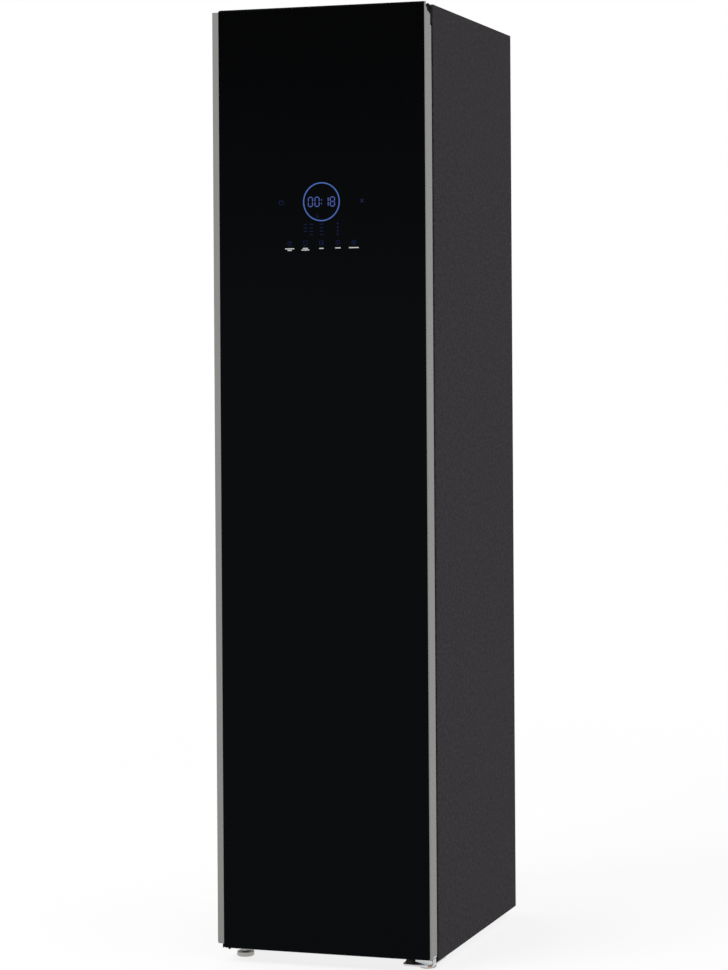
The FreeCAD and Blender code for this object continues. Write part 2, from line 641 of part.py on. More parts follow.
def inner_liner():
    """Moulded steam chamber, open to the front, with its sealing flange."""
    wall = D.liner_wall
    liner = Piece("inner_liner")
    liner.pad("y", CAB_FRONT, CAB_FRONT + wall,
              rect(-D.flange_half, D.liner_flange_low, D.flange_half, D.liner_flange_high))
    liner.pad("y", CAB_FRONT, D.room_back + wall,
              rect(-D.room_half - wall, D.room_low - wall, D.room_half + wall, D.room_high + wall))
    liner.pocket("y", CAB_FRONT, D.room_back, rect(-D.room_half, D.room_low, D.room_half, D.room_high))
    for inset, radius in ((0, D.room_corner), (wall, D.room_corner + wall)):
        corner_x = (D.room_half + inset).value
        liner.round(radius, lambda edge: along(edge, "z") and near(abs(edge.CenterOfMass.x), corner_x)
                    and near(edge.CenterOfMass.y, D.room_back + inset))
    for side in (-1, 1):
        liner.pad("x", *span(D.room_half + 1, D.room_half - D.ledge_reach, side), *[
            rect(start, D.ledge_level - D.ledge_thick, start + D.ledge_long, D.ledge_level)
            for start in shelf_ledges()
        ])
    liner.pocket("z", D.room_low - wall, D.room_low,
                 rect(D.filter_x - D.filter_half - wall, -D.filter_deep - wall,
                      D.filter_x + D.filter_half + wall, D.filter_deep + wall),
                 rect(D.outlet_x - D.outlet_half, D.outlet_y - D.outlet_half,
                      D.outlet_x + D.outlet_half, D.outlet_y + D.outlet_half),
                 Disc(D.nozzle_x, D.nozzle_y, D.hose_hole))
    slot_half = D.stem_round + D.shake + D.slot_room
    slot_deep = D.stem_round + D.slot_room
    lamp_front = CAB_FRONT + D.lamp_front
    liner.pocket("z", D.room_high, D.room_high + wall,
                 *[rect(x - slot_half, D.rail_y - slot_deep, x + slot_half, D.rail_y + slot_deep)
                   for x in (-D.stem_x, D.stem_x)],
                 rect(-D.lamp_half, lamp_front, D.lamp_half, lamp_front + D.lamp_deep))


def insulation():
    """Three foam slabs between the chamber and the casing."""
    low = D.room_low + 1
    high = D.room_high - 1
    near_face = CAB_FRONT + D.liner_wall + D.play
    inner = D.room_half + D.liner_wall + D.slab_gap
    outer = inner + D.slab_side
    behind = D.room_back + D.liner_wall + D.slab_gap
    slabs = [
        block("insulation_left", (-outer, near_face, low), (-inner, D.room_back, high)),
        block("insulation_right", (inner, near_face, low), (outer, D.room_back, high)),
        block("insulation_rear", (-D.room_half, behind, low), (D.room_half, behind + D.slab_rear, high)),
    ]
    keep("insulation", group("insulation", slabs))


def tank_bay():
    """Moulded two-cell box for the tanks, open to the front."""
    inner = D.bay_half - D.bay_wall
    bay = Piece("tank_bay")
    bay.pad("y", CAB_FRONT, CAB_FRONT + D.bay_wall,
            rect(-D.flange_half, D.bay_flange_low, D.flange_half, D.liner_flange_low - D.play))
    bay.pad("y", CAB_FRONT, D.bay_back, rect(-D.bay_half, D.bay_low, D.bay_half, D.bay_high))
    for low_x, high_x in ((-inner, -D.bay_divider), (D.bay_divider, inner)):
        bay.pocket("y", CAB_FRONT, D.bay_back - D.bay_wall,
                   rect(low_x, D.bay_low + D.bay_wall, high_x, D.bay_high - D.bay_wall))
    bay.pocket("y", D.bay_back - D.bay_wall, D.bay_back,
               Disc(D.pump_x, D.bay_low + D.spout_rise, D.spout_bore))


def tank(label, centre_x):
    """Moulded tank with a filling mouth in its top and a grip bar on its front."""
    wide = D.tank_wide / 2
    wall = D.tank_wall
    grip = D.grip_wide
    level = D.grip_level
    body = Piece(label, at=(centre_x, TANK_FRONT, D.bay_low + D.bay_wall + D.running_gap))
    body.pad("z", 0, D.tank_high, rect(-wide, 0, wide, D.tank_deep))
    body.pocket("z", wall, D.tank_high - wall, rect(wall - wide, wall, wide - wall, D.tank_deep - wall))
    outside = wide.value - 1
    inside_high = D.tank_high.value - wall.value
    body.round(D.tank_corner, lambda edge: along(edge, "z") and abs(edge.CenterOfMass.x) > outside)
    body.round(D.tank_corner - wall, lambda edge: along(edge, "z") and edge.Length < inside_high
               and abs(edge.CenterOfMass.x) < outside)
    body.pocket("z", D.tank_high - wall, D.tank_high,
                rect(-D.mouth_wide / 2, D.mouth_deep / 2, D.mouth_wide / 2, D.mouth_deep * 3 / 2))
    body.pad("y", D.grip_thick - D.grip_out, 1,
             rect(-grip, level, D.grip_post - grip, level + D.grip_bar),
             rect(grip - D.grip_post, level, grip, level + D.grip_bar))
    body.pad("y", -D.grip_out, D.grip_thick - D.grip_out, rect(-grip, level, grip, level + D.grip_bar))


def shelf():
    """Wire rack: a frame with cross wires, resting on the four ledges."""
    level = D.ledge_level + D.running_gap + D.frame_wire
    front = CAB_FRONT + D.shelf_front
    back = D.room_back - D.shelf_back
    half = D.shelf_half
    wires = []
    for k, x in enumerate((-half, half)):
        wires.append(rod(f"shelf_side_{k}", (x, front, level), back - front, D.frame_wire, "y"))
    reach = half + D.wire_over
    for k, y in enumerate((front, back)):
        wires.append(rod(f"shelf_end_{k}", (-reach, y, level), reach * 2, D.frame_wire, "x"))
    pitch = half * 2 / (D.wire_count + 1)
    for k in range(DIMS["wire_count"]):
        start = (-half + pitch * (k + 1), front, level)
        wires.append(rod(f"shelf_wire_{k}", start, back - front, D.cross_wire, "y"))
    keep("shelf", fuse("shelf", wires))


def lint_filter():
    """Filter basket in the chamber floor, lifted out by its grip bar."""
    half = D.filter_half
    deep = D.filter_deep
    rim_x = half + D.filter_rim
    rim_y = deep + D.filter_rim
    bar = D.filter_bar
    frame = D.filter_frame
    floor = D.filter_floor - D.filter_basket
    basket = Piece("lint_filter", at=(D.filter_x, 0, D.room_low + D.running_gap))
    basket.pad("z", 0, D.filter_thick, rect(-rim_x, -rim_y, rim_x, rim_y))
    basket.pad("z", -D.filter_basket, 0, rect(-half, -deep, half, deep))
    basket.pocket("z", floor, D.filter_thick,
                  rect(frame - half, frame - deep, half - frame, -bar),
                  rect(frame - half, bar, half - frame, deep - frame))
    left = D.filter_margin - half
    right = left + D.filter_slot
    near_bar = bar + D.filter_floor
    far = deep - D.filter_margin
    slots = basket.pocket("z", -D.filter_basket, floor,
                          rect(left, -far, right, -near_bar), rect(left, near_bar, right, far))
    basket.row(slots, "x", half * 2 - D.filter_margin * 2 - D.filter_slot, D.filter_slots)
    basket.pad("z", D.filter_thick, D.filter_thick + D.filter_grip,
               rect(-D.filter_grip_half, -bar, D.filter_grip_half, bar))


def air_outlet_grille():
    """Louvred grille where the fan's duct meets the chamber floor."""
    half = D.outlet_half
    rim = half + D.outlet_rim
    side = half - D.louvre_margin
    first = D.outlet_rim - half
    grille = Piece("air_outlet_grille", at=(D.outlet_x, D.outlet_y, D.room_low))
    grille.pad("z", 0, D.louvre, rect(-rim, -rim, rim, rim))
    slot = grille.pocket("z", 0, D.louvre, rect(-side, first, side, first + D.louvre))
    grille.row(slot, "y", D.louvre_pitch * (D.louvre_count - 1), D.louvre_count)
    shortest = D.outlet_half.value * 2
    grille.round(D.outlet_ease, lambda edge: near(edge.CenterOfMass.z, D.louvre)
                 and edge.Length > shortest, "Chamfer")


def steam_nozzle():
    """Hooded nozzle on the chamber floor, open towards the front."""
    x, y = D.nozzle_x, D.nozzle_y
    hood = D.nozzle_top - D.room_low
    stub_low = D.room_low - D.nozzle_stub
    solid = fuse("nozzle_solid", [
        rod("nozzle_flange", (x, y, D.room_low), D.nozzle_plate, D.nozzle_flange),
        rod("nozzle_hood", (x, y, D.room_low), hood, D.nozzle_round),
        rod("nozzle_stub", (x, y, stub_low), D.nozzle_stub + 1, D.hose_round),
    ])
    bore = rod("nozzle_bore", (x, y, stub_low), hood, D.nozzle_bore)
    mouth = block("nozzle_mouth", (x - D.nozzle_mouth, y - D.nozzle_round - 1, D.room_low + D.nozzle_sill),
                  (x + D.nozzle_mouth, y, D.nozzle_top - D.nozzle_bore))
    keep("steam_nozzle", cut("steam_nozzle", solid, [bore, mouth]))


def lamp_lens():
    """Clear bar of the chamber lamp, let into the ceiling behind the door."""
    front = CAB_FRONT + D.lamp_front
    rim = D.lamp_rim
    gap = D.play
    plate = block("lamp_plate", (-D.lamp_half - rim, front - rim, D.room_high - D.lamp_sheet),
                  (D.lamp_half + rim, front + D.lamp_deep + rim, D.room_high))
    plug = block("lamp_plug", (gap - D.lamp_half, front + gap, D.room_high - 1),
                 (D.lamp_half - gap, front + D.lamp_deep - gap, D.room_high + D.lamp_plug))
    keep("lamp_lens", fuse("lamp_lens", [plate, plug]))


# ---------------------------------------------------------------- hanger drive


def hanger_places():
    """The hangers by name, as X."""
    names = ("hanger_left", "hanger_middle", "hanger_right")
    return {name: D.hanger_pitch * side for name, side in zip(names, (-1, 0, 1))}


def hanger_rail():
    """Rail with end stops and collars that keep the hooks apart, and two stems up to the carriage."""
    level = D.rail_level
    reach = D.rail_half
    pieces = [rod("rail_bar", (-reach, D.rail_y, level), reach * 2, D.rail_round, "x")]
    stops = [-reach, reach - D.collar_width]
    for centre in hanger_places().values():
        gap = D.hook_wide / 2 + D.hook_play
        stops += [centre + gap, centre - gap - D.collar_width]
    for k, x in enumerate(stops):
        pieces.append(rod(f"rail_collar_{k}", (x, D.rail_y, level), D.collar_width, D.collar_round, "x"))
    stem_long = D.rod_level - D.carriage_thick / 2 - level
    for k, x in enumerate((-D.stem_x, D.stem_x)):
        pieces.append(rod(f"rail_stem_{k}", (x, D.rail_y, level), stem_long, D.stem_round))
    keep("hanger_rail", fuse("hanger_rail", pieces))


def rack_teeth():
    """Straight-sided rack teeth with a tooth space at X = 0, as one solid from the carriage's edge."""
    module = DIMS["gear_module"]
    half_long = DIMS["rack_half"]
    pitch = math.pi * module
    pressure = math.tan(math.radians(DIMS["gear_pressure"]))
    half_tooth = pitch / 4 - DIMS["gear_backlash"] / 4
    root = -DIMS["gear_root"] * module
    base = CARRIAGE_BACK.value - 1
    line = PITCH_LINE_Y.value
    count = int(half_long / pitch)
    outline = [(-half_long, base), (-half_long, line + root)]
    for k in range(-count, count):
        centre = (k + 0.5) * pitch
        for reach, side in ((root, -1), (module, -1), (module, 1), (root, 1)):
            outline.append((centre + side * (half_tooth - reach * pressure), line + reach))
    outline += [(half_long, line + root), (half_long, base)]
    points = [FreeCAD.Vector(x, y, GEAR_LOW.value) for x, y in outline]
    face = Part.Face(Part.makePolygon(points + points[:1]))
    return face.extrude(FreeCAD.Vector(0, 0, DIMS["gear_width"]))


def rail_carriage():
    """Plate that runs on the guide rods and carries the rail's stems and the rack."""
    half = D.carriage_half
    thick = D.carriage_thick
    low = D.rod_level - thick / 2
    bore = D.rod_round + D.bore_gap * 2
    plate = block("carriage_plate", (-half, D.rail_y - D.carriage_deep, low),
                  (half, CARRIAGE_BACK, low + thick))
    bores = [
        rod(f"carriage_bore_{k}", (-half - 1, y, D.rod_level), half * 2 + 2, bore, "x")
        for k, y in enumerate((ROD_FRONT_Y, ROD_BACK_Y))
    ]
    rack = DOC.addObject("Part::Feature", "carriage_rack")
    rack.Shape = rack_teeth()
    bored = cut("carriage_bored", plate, bores)
    keep("rail_carriage", fuse("rail_carriage", [bored, rack]))


def guide_set(name, y):
    """One guide rod between two blocks that stand on the chamber's ceiling."""
    size = D.block_size
    foot = D.room_high + D.liner_wall
    pieces = [rod(f"{name}_rod", (-D.rod_half, y, D.rod_level), D.rod_half * 2, D.rod_round, "x")]
    for k, x in enumerate((-D.rod_half, D.rod_half - size)):
        pieces.append(block(f"{name}_block_{k}", (x, y - size / 2, foot),
                            (x + size, y + size / 2, D.rod_level + size / 2)))
    return fuse(name, pieces)


def rail_guides():
    """The two guide rods with their blocks."""
    sets = [guide_set("guide_front", ROD_FRONT_Y), guide_set("guide_back", ROD_BACK_Y)]
    keep("rail_guides", group("rail_guides", sets))


def involute_flank(base_radius, radius):
    """Angle that the involute has turned from its base circle at a radius."""
    if radius <= base_radius:
        return 0.0
    roll = math.sqrt((radius / base_radius) ** 2 - 1)
    return roll - math.atan(roll)


def drive_pinion():
    """Pinion with involute teeth and its shaft. One tooth points at the rack at rest."""
    module = DIMS["gear_module"]
    teeth = DIMS["gear_teeth"]
    pitch_radius = GEAR_RADIUS.value
    base_radius = pitch_radius * math.cos(math.radians(DIMS["gear_pressure"]))
    tip = pitch_radius + module
    root = pitch_radius - DIMS["gear_root"] * module
    half_tooth = (math.pi / 2 - DIMS["gear_backlash"] / module / 2) / teeth
    flank_start = half_tooth + involute_flank(base_radius, pitch_radius)
    steps = 4
    radii = [root] + [base_radius + (tip - base_radius) * k / steps for k in range(steps + 1)]
    points = []
    for tooth in range(teeth):
        centre = 2 * math.pi * tooth / teeth - math.pi / 2
        half_angles = [(radius, flank_start - involute_flank(base_radius, radius)) for radius in radii]
        left = [(radius, centre - half) for radius, half in half_angles]
        right = [(radius, centre + half) for radius, half in reversed(half_angles)]
        points += [FreeCAD.Vector(r * math.cos(a), r * math.sin(a), 0) for r, a in left + right]
    face = Part.Face(Part.makePolygon(points + points[:1]))
    gear = face.extrude(FreeCAD.Vector(0, 0, DIMS["gear_width"]))
    shaft_top = (D.gearbox_low + D.shaft_grip - GEAR_LOW).value
    shape = gear.fuse(Part.makeCylinder(DIMS["shaft_round"], shaft_top)).removeSplitter()
    shaped("drive_pinion", shape, at=(0, GEAR_Y, GEAR_LOW))


def drive_motor():
    """Gearbox and motor can on two legs, with a bore for the pinion's shaft."""
    half = D.gearbox_half
    low = D.gearbox_low
    foot = D.room_high + D.liner_wall
    leg_front = GEAR_Y + D.leg_front
    back = GEAR_Y + D.gearbox_back
    body = fuse("motor_solid", [
        block("motor_gearbox", (-half, GEAR_Y - D.gearbox_front, low), (half, back, low + D.gearbox_high)),
        block("motor_leg_left", (-half, leg_front, foot), (D.leg_thick - half, back, low + 1)),
        block("motor_leg_right", (half - D.leg_thick, leg_front, foot), (half, back, low + 1)),
        rod("motor_can", (0, GEAR_Y + D.motor_back, low), D.gearbox_high + D.motor_rise, D.motor_round),
    ])
    bore = rod("motor_bore", (0, GEAR_Y, low - 1), D.shaft_grip + 1 + D.running_gap,
               D.shaft_round + D.bore_gap)
    keep("drive_motor", cut("drive_motor", body, [bore]))


def hanger_edge(shares, neck, drop):
    """Points of the right half of one edge of a hanger, from its shares."""
    return [
        (DIMS["hanger_half"] * along_arm, -neck - (drop - neck) * fall - DIMS["hanger_body"] * depth)
        for along_arm, fall, depth in shares
    ]


def hanger_outline():
    """Shoulder shape in the YZ plane: two curves joined by short rounded tips."""
    neck = DIMS["hanger_neck"]
    drop = DIMS["hanger_drop"]
    upper_right = hanger_edge(HANGER_UPPER, neck, drop)
    lower_right = hanger_edge(HANGER_LOWER, neck, drop)
    upper = [(-y, z) for y, z in reversed(upper_right)] + upper_right
    lower = lower_right + [(-y, z) for y, z in reversed(lower_right[:-1])]
    curves = []
    for line in (upper, lower):
        curve = Part.BSplineCurve()
        curve.interpolate([FreeCAD.Vector(0, y, z) for y, z in line])
        curves.append(curve)
    tip_y = DIMS["hanger_half"] + DIMS["hanger_tip"]
    tip_z = -drop - DIMS["hanger_body"] * HANGER_TIP_DEPTH
    top, low = curves
    right_tip = Part.Arc(top.EndPoint, FreeCAD.Vector(0, tip_y, tip_z), low.StartPoint)
    left_tip = Part.Arc(low.EndPoint, FreeCAD.Vector(0, -tip_y, tip_z), top.StartPoint)
    return Part.Wire([item.toShape() for item in (top, right_tip, low, left_tip)])


def hanger(label, centre_x):
    """One-piece hanger whose hook wraps round the rail with running clearance."""
    half = DIMS["hanger_wide"] / 2
    inner = DIMS["rail_round"] + DIMS["hook_gap"]
    outer = inner + DIMS["hook_wall"]
    wide = DIMS["hook_wide"]
    left = FreeCAD.Vector(-wide / 2, 0, 0)
    along_x = FreeCAD.Vector(1, 0, 0)
    wire = hanger_outline()
    wire.translate(FreeCAD.Vector(-half, 0, 0))
    shoulders = Part.Face(wire).extrude(FreeCAD.Vector(half * 2, 0, 0))
    rims = [edge for edge in shoulders.Edges if edge.Length > DIMS["hanger_half"]]
    shoulders = shoulders.makeFillet(DIMS["hanger_body"] / 4, rims)
    ring = Part.makeCylinder(outer, wide, left, along_x).cut(Part.makeCylinder(inner, wide, left, along_x))
    mouth = Part.makeBox(wide, outer + 1, outer + 1,
                         left - FreeCAD.Vector(0, outer + DIMS["hook_mouth"], outer + 1))
    neck_wide = DIMS["neck_wide"]
    neck_low = -DIMS["hanger_neck"] - DIMS["hanger_body"] / 2
    neck = Part.makeBox(wide, neck_wide, -inner - DIMS["neck_short"] - neck_low,
                        FreeCAD.Vector(-wide / 2, -neck_wide / 2, neck_low))
    shape = shoulders.fuse([ring.cut(mouth), neck]).removeSplitter()
    shaped(label, shape, at=(centre_x, D.rail_y, D.rail_level))


# ---------------------------------------------------------------- air path and heat pump


def air_duct_case():
    """Box that leads air from the filter down through both coils to the fan."""
    half = D.case_half
    wall = D.case_wall
    case = Piece("air_duct_case", at=(D.filter_x, 0, 0))
    case.pad("z", BASE_TOP, D.case_top, rect(-half, -D.case_deep, half, D.case_deep))
    case.pocket("z", BASE_TOP + wall, D.case_top,
                rect(wall - half, wall - D.case_deep, half - wall, D.case_deep - wall))
    case.pocket("y", D.case_deep - wall, D.case_deep, Disc(0, D.fan_level, D.duct_hole))
    case.pocket("x", -half, wall - half, *[
        Disc(0, low + D.coil_high / 2, D.pipe_round + D.running_gap) for low in (D.cold_low, D.hot_low)])


def finned_coil(label, low):
    """Heat exchanger: tubes through a stack of fins between two end plates."""
    half = D.case_half - D.case_wall
    deep = D.case_deep - D.case_wall
    fin_deep = deep - D.fin_inset
    middle = low + D.coil_high / 2
    high = low + D.coil_high
    first = D.fin_margin - half
    coil = Piece(label, at=(D.filter_x, 0, 0))
    coil.pad("x", -half, half, *[
        Disc(D.tube_pitch * column, middle + D.tube_rise * side, D.coil_tube)
        for column in (-1, 0, 1) for side in (-1, 1)
    ])
    coil.pad("x", -half, D.coil_plate - half, rect(-deep, low, deep, high))
    coil.pad("x", half - D.coil_plate, half, rect(-deep, low, deep, high))
    fin = coil.pad("x", first, first + D.fin_thick, rect(-fin_deep, low, fin_deep, high))
    coil.row(fin, "x", (half - D.fin_margin) * 2, D.coil_fins)


def fan_housing():
    """Scroll round the fan drum, and the straight duct that rises from it to the outlet grille."""
    wall = D.case_wall
    front = D.case_deep
    right = D.scroll_round
    left = right - D.outlet_half * 2 + wall * 2
    scroll = Piece("fan_scroll", at=(D.filter_x, 0, 0))
    scroll.pad("y", front, FAN_BACK, Disc(0, D.fan_level, D.scroll_round))
    scroll.pad("y", front, FAN_BACK, rect(left, D.fan_level, right, D.scroll_top))
    scroll.pocket("y", front + wall, FAN_BACK - wall, Disc(0, D.fan_level, D.scroll_round - wall))
    scroll.pocket("y", front + wall, FAN_BACK - wall,
                  rect(left + wall, D.fan_level, right - wall, D.scroll_top))
    scroll.pocket("y", front, front + wall, Disc(0, D.fan_level, D.inlet_round))
    scroll.pocket("y", FAN_BACK - wall, FAN_BACK, Disc(0, D.fan_level, D.shaft_hole))
    duct = Piece("fan_duct", at=(D.filter_x, 0, 0))
    duct.pad("z", D.scroll_top, D.case_top, rect(left, front, right, FAN_BACK))
    duct.pocket("z", D.scroll_top, D.case_top,
                rect(left + wall, front + wall, right - wall, FAN_BACK - wall))
    keep("fan_housing", group("fan_housing", [unlisted(scroll), unlisted(duct)]))


def fan_impeller():
    """Drum of straight blades between a back plate and a front ring, with its shaft."""
    plate = D.drum_plate
    deep = D.drum_deep
    outer = D.drum_round + D.drum_over
    half_blade = D.blade_thick / 2
    drum = Piece("fan_impeller", at=(D.filter_x, D.case_deep + D.fan_gap, D.fan_level))
    drum.pad("y", deep, deep + plate, Disc(0, 0, outer))
    blade = drum.pad("y", 0, deep + 1, rect(D.blade_inner, -half_blade, D.drum_round, half_blade))
    drum.wheel(blade, "y", D.blade_count)
    drum.pad("y", 0, plate, Disc(0, 0, outer), Disc(0, 0, D.drum_round - D.drum_rim))
    drum.pad("y", deep - D.hub_deep, deep, Disc(0, 0, D.hub_round))
    drum.pad("y", deep, D.fan_housing_deep - D.fan_gap + D.shaft_end, Disc(0, 0, D.fan_shaft))


def fan_motor():
    """Motor can behind the scroll, with a bore for the drum's shaft."""
    can = Piece("fan_motor", at=(D.filter_x, FAN_BACK, D.fan_level))
    can.pad("y", 0, D.motor_flange, Disc(0, 0, D.fan_motor_round + D.motor_rim))
    can.pad("y", D.motor_flange, D.fan_motor_deep, Disc(0, 0, D.fan_motor_round))
    can.pocket("y", 0, D.motor_bore, Disc(0, 0, D.fan_shaft + D.bore_gap))
    can.round(D.motor_ease, lambda edge: near(edge.CenterOfMass.y, D.fan_motor_deep))


def pipe_shape(points, radius, bend):
    """A round pipe along straight runs joined by tangent arcs, all of one bend radius."""
    spots = [FreeCAD.Vector(*[as_size(amount).value for amount in point]) for point in points]
    edges = []
    here = spots[0]
    for before, corner, after in zip(spots, spots[1:], spots[2:]):
        into = (corner - before).normalize()
        out = (after - corner).normalize()
        turn = into.getAngle(out)
        reach = bend * math.tan(turn / 2)
        start = corner - into * reach
        finish = corner + out * reach
        inward = (out - into).normalize()
        middle = corner + inward * (bend / math.cos(turn / 2) - bend)
        edges.append(Part.LineSegment(here, start).toShape())
        edges.append(Part.Arc(start, middle, finish).toShape())
        here = finish
    edges.append(Part.LineSegment(here, spots[-1]).toShape())
    profile = Part.Wire(Part.makeCircle(radius, spots[0], spots[1] - spots[0]))
    return Part.Wire(edges).makePipeShell([profile], True, False)


def compressor():
    """Welded compressor shell on a base plate with two pipe stubs."""
    radius = D.comp_round
    high = D.comp_high
    shell = Piece("compressor", at=(D.comp_x, D.comp_y, D.comp_foot))
    shell.revolve([
        (0, 0), (radius - D.comp_step, 0), (radius, D.comp_seam), (radius, high - D.comp_crown),
        (radius - D.comp_seam, high - D.comp_seam), (radius / 2, high), (0, high),
    ])
    reach_x = D.comp_foot_x + D.comp_foot_reach
    reach_y = D.comp_foot_y + D.comp_foot_reach
    shell.pad("z", 0, D.comp_plate, rect(-reach_x, -reach_y, reach_x, reach_y))
    shell.pad("z", high - D.stub_sunk, high + D.stub_rise,
              *[Disc(x, 0, D.pipe_round + 1) for x in (D.stub_near, D.stub_far)])


def compressor_mounts():
    """Four rubber buffers between the compressor and the base."""
    pieces = []
    for k, (side, row) in enumerate(((-1, -1), (1, -1), (-1, 1), (1, 1))):
        spot = (D.comp_x + D.comp_foot_x * side, D.comp_y + D.comp_foot_y * row, BASE_TOP)
        pieces.append(rod(f"mount_{k}", spot, D.comp_foot - BASE_TOP, D.mount_round))
    keep("compressor_mounts", group("compressor_mounts", pieces))


def refrigerant_pipes():
    """One pipe to each coil, over the steam generator."""
    inside_case = D.filter_x - D.case_half + D.pipe_entry
    start = D.comp_foot + D.comp_high + D.stub_rise
    pipes = []
    for stub, low in ((D.stub_near, D.cold_low), (D.stub_far, D.hot_low)):
        x = D.comp_x + stub
        level = low + D.coil_high / 2
        route = [(x, D.comp_y, start), (x, D.comp_y, level), (x, 0, level), (inside_case, 0, level)]
        pipes.append(pipe_shape(route, DIMS["pipe_round"], DIMS["pipe_bend"]))
    shaped("refrigerant_pipes", Part.makeCompound(pipes))


def steam_generator():
    """Boiler box on two legs, with a steam outlet on top and a feed inlet at its side."""
    half_x = D.boiler_wide / 2
    half_y = D.boiler_deep / 2
    top = D.boiler_low + D.boiler_high
    leg_out = half_x - D.boiler_leg_inset
    leg_in = leg_out - D.boiler_leg
    box = Piece("steam_generator", at=(D.boiler_x, 0, 0))
    box.pad("z", D.boiler_low, top, rect(-half_x, -half_y, half_x, half_y))
    box.round(D.boiler_round, lambda edge: along(edge, "z"))
    box.pad("z", BASE_TOP, D.boiler_low, rect(-leg_out, -half_y, -leg_in, half_y),
            rect(leg_in, -half_y, leg_out, half_y))
    box.pad("z", top, top + D.steam_rise, Disc(0, 0, D.hose_round))
    box.pad("x", half_x - 1, half_x + D.feed_reach,
            Disc(D.feed_y, D.boiler_low + D.feed_rise, D.feed_round))


def steam_hose():
    """Hose from the steam generator up to the nozzle."""
    x = D.boiler_x
    start = D.boiler_low + D.boiler_high + D.steam_rise
    end = D.room_low - D.nozzle_stub
    route = [(x, 0, start), (x, 0, start + D.hose_straight), (x, D.nozzle_y, end - D.hose_drop),
             (x, D.nozzle_y, end)]
    shaped("steam_hose", pipe_shape(route, DIMS["hose_round"], DIMS["hose_bend"]))


def feed_pump():
    """Small pump on the base between the generator and the duct case."""
    half = D.pump_wide / 2
    top = BASE_TOP + D.pump_high
    body = block("pump_body", (D.pump_x - half, D.pump_y, BASE_TOP),
                 (D.pump_x + half, D.pump_y + D.pump_deep, top))
    port = rod("pump_port", (D.pump_x, D.pump_y + D.pump_port, top), D.port_rise, D.port_round)
    keep("feed_pump", fuse("feed_pump", [body, port]))


def feed_hose():
    """Two hose runs: from the bay's spout to the pump, and from the pump to the steam generator."""
    x = D.pump_x
    spout = D.bay_low + D.spout_rise
    port_y = D.pump_y + D.pump_port
    port_top = BASE_TOP + D.pump_high + D.port_rise
    inlet_x = D.boiler_x + D.boiler_wide / 2 + D.feed_reach
    inlet_z = D.boiler_low + D.feed_rise
    outlet_z = BASE_TOP + D.pump_outlet
    radius = DIMS["feed_round"]
    supply = [(x, D.bay_back, spout), (x, port_y, spout), (x, port_y, port_top)]
    delivery = [(x, D.pump_y, outlet_z), (x, D.feed_y, outlet_z), (x, D.feed_y, inlet_z),
                (inlet_x, D.feed_y, inlet_z)]
    runs = [pipe_shape(supply, radius, DIMS["pipe_bend"]), pipe_shape(delivery, radius, DIMS["feed_bend"])]
    shaped("feed_hose", Part.makeCompound(runs))


# ---------------------------------------------------------------- electrics


def control_board():
    """Circuit board on four standoffs above the chamber, with its larger parts."""
    x, y, level = D.board_x, D.board_y, D.board_level
    foot = D.room_high + D.liner_wall
    top = level + D.board_thick
    inset = D.standoff_inset
    pieces = [block("board_plate", (x, y, level), (x + D.board_wide, y + D.board_deep, top))]
    for k, (from_x, from_y) in enumerate(((0, 0), (1, 0), (0, 1), (1, 1))):
        spot = (x + inset + (D.board_wide - inset * 2) * from_x,
                y + inset + (D.board_deep - inset * 2) * from_y, foot)
        pieces.append(rod(f"board_standoff_{k}", spot, top - foot, D.standoff_round))
    for name, (from_x, from_y, wide, deep, high) in BOARD_PARTS.items():
        pieces.append(block(name, (x + from_x, y + from_y, level),
                            (x + from_x + wide, y + from_y + deep, top + high)))
    keep("control_board", fuse("control_board", pieces))


def power_inlet():
    """Recessed three-pin mains inlet in the rear cover."""
    outer = PANEL_BACK + D.skin
    inside = outer - D.inlet_deep
    half_x = D.inlet_wide / 2
    half_z = D.inlet_high / 2
    brim_x = half_x + D.inlet_ear
    brim_z = half_z + D.inlet_brim
    well_x = half_x - D.inlet_wall
    well_z = half_z - D.inlet_wall
    half_pin = D.pin_wide / 2
    low_pin = D.pin_high / 2
    inlet = Piece("power_inlet", at=(D.inlet_x, 0, D.inlet_level))
    inlet.pad("y", inside, outer, rect(-half_x, -half_z, half_x, half_z))
    inlet.pad("y", outer, BACK, rect(-brim_x, -brim_z, brim_x, brim_z))
    inlet.pocket("y", inside + D.inlet_floor, BACK, rect(-well_x, -well_z, well_x, well_z))
    pins = [(-D.pin_side, 0), (D.pin_side, 0), (0, D.earth_level)]
    inlet.pad("y", inside + D.inlet_floor - 1, outer - D.pin_recess, *[
        rect(x - half_pin, z - low_pin, x + half_pin, z + low_pin) for x, z in pins])


# ---------------------------------------------------------------- door


def door_glass():
    """Full-height black glass with eased lower corners."""
    glass = Piece("door_glass")
    glass.pad("y", GLASS_FRONT, GLASS_BACK, rect(GLASS_LEFT, D.door_low, GLASS_RIGHT, D.glass_high))
    glass.round(D.glass_corner, lambda edge: along(edge, "y") and near(edge.CenterOfMass.z, D.door_low))


def door_left_profile():
    """Extrusion whose front flange is the grip, over a groove for the fingers."""
    wall = D.profile_wall
    edge = -HALF
    web = edge + D.grip_reach
    front_back = GLASS_BACK + D.running_gap
    groove_front = front_back + wall
    profile = Piece("door_left_profile")
    profile.pad("z", D.grip_low, D.grip_high, [
        (edge, FRONT), (GLASS_LEFT, FRONT), (GLASS_LEFT, front_back), (web, front_back),
        (web, DOOR_BACK), (edge, DOOR_BACK), (edge, DOOR_BACK - wall), (web - wall, DOOR_BACK - wall),
        (web - wall, groove_front), (GLASS_LEFT - wall, groove_front), (GLASS_LEFT - wall, FRONT + wall),
        (edge, FRONT + wall),
    ])
    profile.round(D.grip_round, lambda side: along(side, "y") and near(side.CenterOfMass.x, edge)
                  and near(side.CenterOfMass.z, D.grip_low) and side.CenterOfMass.y < groove_front.value)


